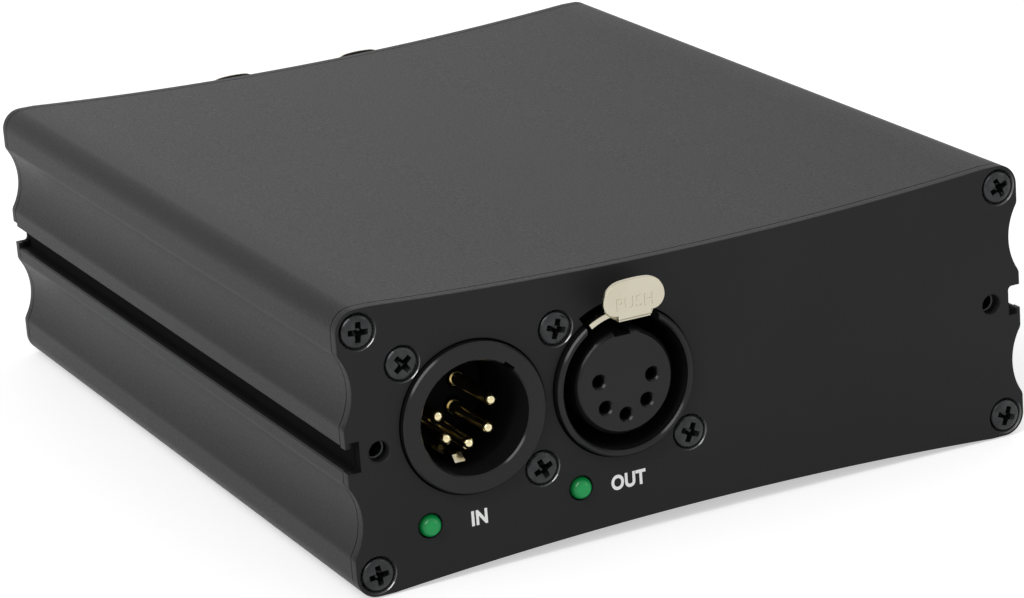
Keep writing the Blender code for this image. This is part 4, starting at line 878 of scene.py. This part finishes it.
def end_panel(end, tools):
    """Panel with its outer face at y = 0 and its front edge eased, pierced by the tools."""
    upper = [(half_width, 2.2), *half_outline, (-half_width, 1.4), (-54.6, 1.4),
             (-54.6, 0.8, -90, 6), (-slot_floor, -1.6), (-54.6, -1.6, -90, 6)]
    lower = [(-stroke[0], -stroke[1], *stroke[2:]) for stroke in upper]
    plate = bar(drawn(*upper, *lower), 0, panel_thickness)
    rim = [edge for edge in plate.edges if all(abs(vert.co.y) < 0.001 for vert in edge.verts)]
    bmesh.ops.bevel(plate, geom=rim, offset=0.2, offset_type="OFFSET", segments=2, profile=0.5,
                    affect="EDGES", material=-1)
    sinks = []
    for column in [x for side, x in connectors.values() if side == end]:
        tools.append(pierced(column + lamp_x, lamp_z, [(1.95, 0), (1.85, 0.1)]))
        for sign in (-1, 1):
            sinks.append((column + screw_x * sign, connector_z - screw_z * sign))
            tools.append(pierced(*sinks[-1], connector_sink))
    for x in (-corner_x, corner_x):
        for z in (-corner_z, corner_z):
            sinks.append((x, z))
            tools.append(pierced(x, z, corner_sink))
    tools += [pierced(x, 0, [(1.75, 0), (1.55, 0.2)]) for x in (-fixing_x, fixing_x)]
    together = bmesh.new()
    for tool in tools:
        mesh = bpy.data.meshes.new("tool")
        tool.to_mesh(mesh)
        tool.free()
        together.from_mesh(mesh)
        bpy.data.meshes.remove(mesh)
    plate = carved(plate, together)
    # The walls of the sinks take the panel's second finish.
    for face in plate.faces:
        spot = face.calc_center_median()
        if (0.02 < spot.y < panel_thickness - 0.02
                and any(math.hypot(spot.x - x, spot.z - z) < 3.0 for x, z in sinks)):
            face.material_index = 1
    return plate


# The dye lies smooth in the freshly cut sinks.
sink_anodised = black_anodised.copy()
sink_anodised.name = "sink_anodised"
sink_shader = sink_anodised.node_tree.nodes["Principled BSDF"]
sink_shader.inputs["Coat Weight"].default_value = 1.0
sink_shader.inputs["Coat Roughness"].default_value = 0.18
sink_shader.inputs["Coat IOR"].default_value = 2.0

input_opening = pierced(connectors["input"][1], connector_z, [(11.55, 0), (11.49, 0.06)], steps=96)
openings = {"front": [input_opening], "rear": [usb_window()]}
for end, x in outputs.values():
    openings[end].append(latch_opening(x))
for end in ("front", "rear"):
    panel = fitted(f"{end}_end_panel", end_panel(end, openings[end]), at_panel(end, 0, 0),
                   black_anodised, "case", f"{end}_panel", crease=24.0)
    panel.data.materials.append(sink_anodised)

for end in ("front", "rear"):
    for hand, x in (("left", -fixing_x), ("right", fixing_x)):
        crests = [(1.49, 9.0), (1.49, 2.1)]
        for turn in range(14):
            crests += [(1.28, 2.2 + turn * 0.48), (1.46, 2.44 + turn * 0.48)]
        fitted(f"{end}_{hand}_tapped_thread", turned(crests, 32), at_panel(end, x, 0), black_oxide,
               "case", None, crease=20.0)


# Printed words
#
# Plain white words screen printed below the connectors: a film of ink a few hundredths of a
# millimetre thick, slightly uneven.

word_x, word_z = -0.25, -13.35
white_ink = skin("white_ink", (0.92, 0.93, 0.92), (0.98, 0.98, 0.98), rough=(0.42, 0.6),
                 fineness=4000.0, relief=0.3, clouds=900.0)
for name, word, connector in (("input_word", "IN", "input"), ("output_word", "OUT", "front_output"),
                              ("rear_output_1_word", "OUT", "rear_output_1"),
                              ("rear_output_2_word", "OUT", "rear_output_2")):
    end, x = connectors[connector]
    letters = lettering(word, 3.0, 0.115, 0.04)
    letters.transform(Matrix.Diagonal((0.85, 1, 1, 1)))
    fitted(name, letters, at_panel(end, x + word_x, word_z), white_ink, "case")


# Table, light and camera
#
# A plain pale table under an even white surround, with a long soft light from the upper left and
# a weaker square one from the right.

def shown_only(tree):
    """One for camera, glossy and transmission rays, nought for the rays that light the object."""
    rays = tree.nodes.new("ShaderNodeLightPath")
    first = tree.nodes.new("ShaderNodeMath")
    first.operation = "MAXIMUM"
    tree.links.new(rays.outputs["Is Camera Ray"], first.inputs[0])
    tree.links.new(rays.outputs["Is Glossy Ray"], first.inputs[1])
    second = tree.nodes.new("ShaderNodeMath")
    second.operation = "MAXIMUM"
    tree.links.new(first.outputs[0], second.inputs[0])
    tree.links.new(rays.outputs["Is Transmission Ray"], second.inputs[1])
    return second.outputs[0]


table_top = bmesh.new()
bmesh.ops.create_grid(table_top, x_segments=1, y_segments=1, size=6.0)
bmesh.ops.translate(table_top, vec=(0, 0, -0.0002), verts=table_top.verts[:])
table_mesh = bpy.data.meshes.new("table")
table_top.to_mesh(table_mesh)
table_top.free()
table = bpy.data.objects.new("table", table_mesh)
bpy.context.scene.collection.objects.link(table)
table_paint = skin("table_paint", (0.80, 0.80, 0.80), (0.82, 0.82, 0.82), rough=(0.7, 0.8),
                   fineness=60.0, relief=0.0, clouds=2.0, levels={"Emission Color": (1, 1, 1, 1)})
paint_tree = table_paint.node_tree
glow = paint_tree.nodes.new("ShaderNodeMath")
glow.operation = "MULTIPLY"
glow.inputs[1].default_value = 0.5
paint_tree.links.new(shown_only(paint_tree), glow.inputs[0])
paint_tree.links.new(glow.outputs[0], paint_tree.nodes["Principled BSDF"].inputs["Emission Strength"])
table_mesh.materials.append(table_paint)

world = bpy.data.worlds.new("studio")
world.use_nodes = True
bpy.context.scene.world = world
backdrop = world.node_tree.nodes["Background"]
backdrop.inputs["Color"].default_value = (1, 1, 1, 1)
surround = world.node_tree.nodes.new("ShaderNodeMapRange")
surround.inputs["To Min"].default_value = 0.55
surround.inputs["To Max"].default_value = 1.0
world.node_tree.links.new(shown_only(world.node_tree), surround.inputs["Value"])
world.node_tree.links.new(surround.outputs["Result"], backdrop.inputs["Strength"])

for name, spot, across, size, power in (
        ("upper_left_softbox", (-0.75, -0.45, 0.85), (0.76, 0, 0.65), (0.9, 0.22), 4.6),
        ("right_softbox", (0.8, -0.6, 0.5), (0.6, 0.8, 0), (0.5, 0.5), 1.0)):
    lamp = bpy.data.lights.new(name, "AREA")
    lamp.shape = "RECTANGLE"
    lamp.size, lamp.size_y = size
    lamp.energy = power
    holder = bpy.data.objects.new(name, lamp)
    bpy.context.scene.collection.objects.link(holder)
    back = (Vector(spot) - Vector((0, 0, 0.02))).normalized()
    along = back.cross(Vector(across)).cross(back).normalized()
    holder.matrix_world = (Matrix.Translation(spot)
                           @ Matrix((along, back.cross(along), back)).transposed().to_4x4())

# The photograph's view: a long lens from the front left, and its tilt up from straight down, its
# roll and its turn about the upright, in degrees.
camera_place = Vector((-0.24831, -0.52855, 0.20559))
camera_turns = Euler([math.radians(degrees) for degrees in (71.8914, 4.1099, -26.8364)])
camera = bpy.data.objects.new("camera", bpy.data.cameras.new("camera"))
bpy.context.scene.collection.objects.link(camera)
camera.data.sensor_width = 36.0
camera.data.lens = 134.37
camera.data.clip_start = 0.01
camera.data.clip_end = 20.0
camera.matrix_world = Matrix.LocRotScale(camera_place, camera_turns, None)
bpy.context.scene.camera = camera
bpy.context.scene.view_settings.view_transform = "Standard"
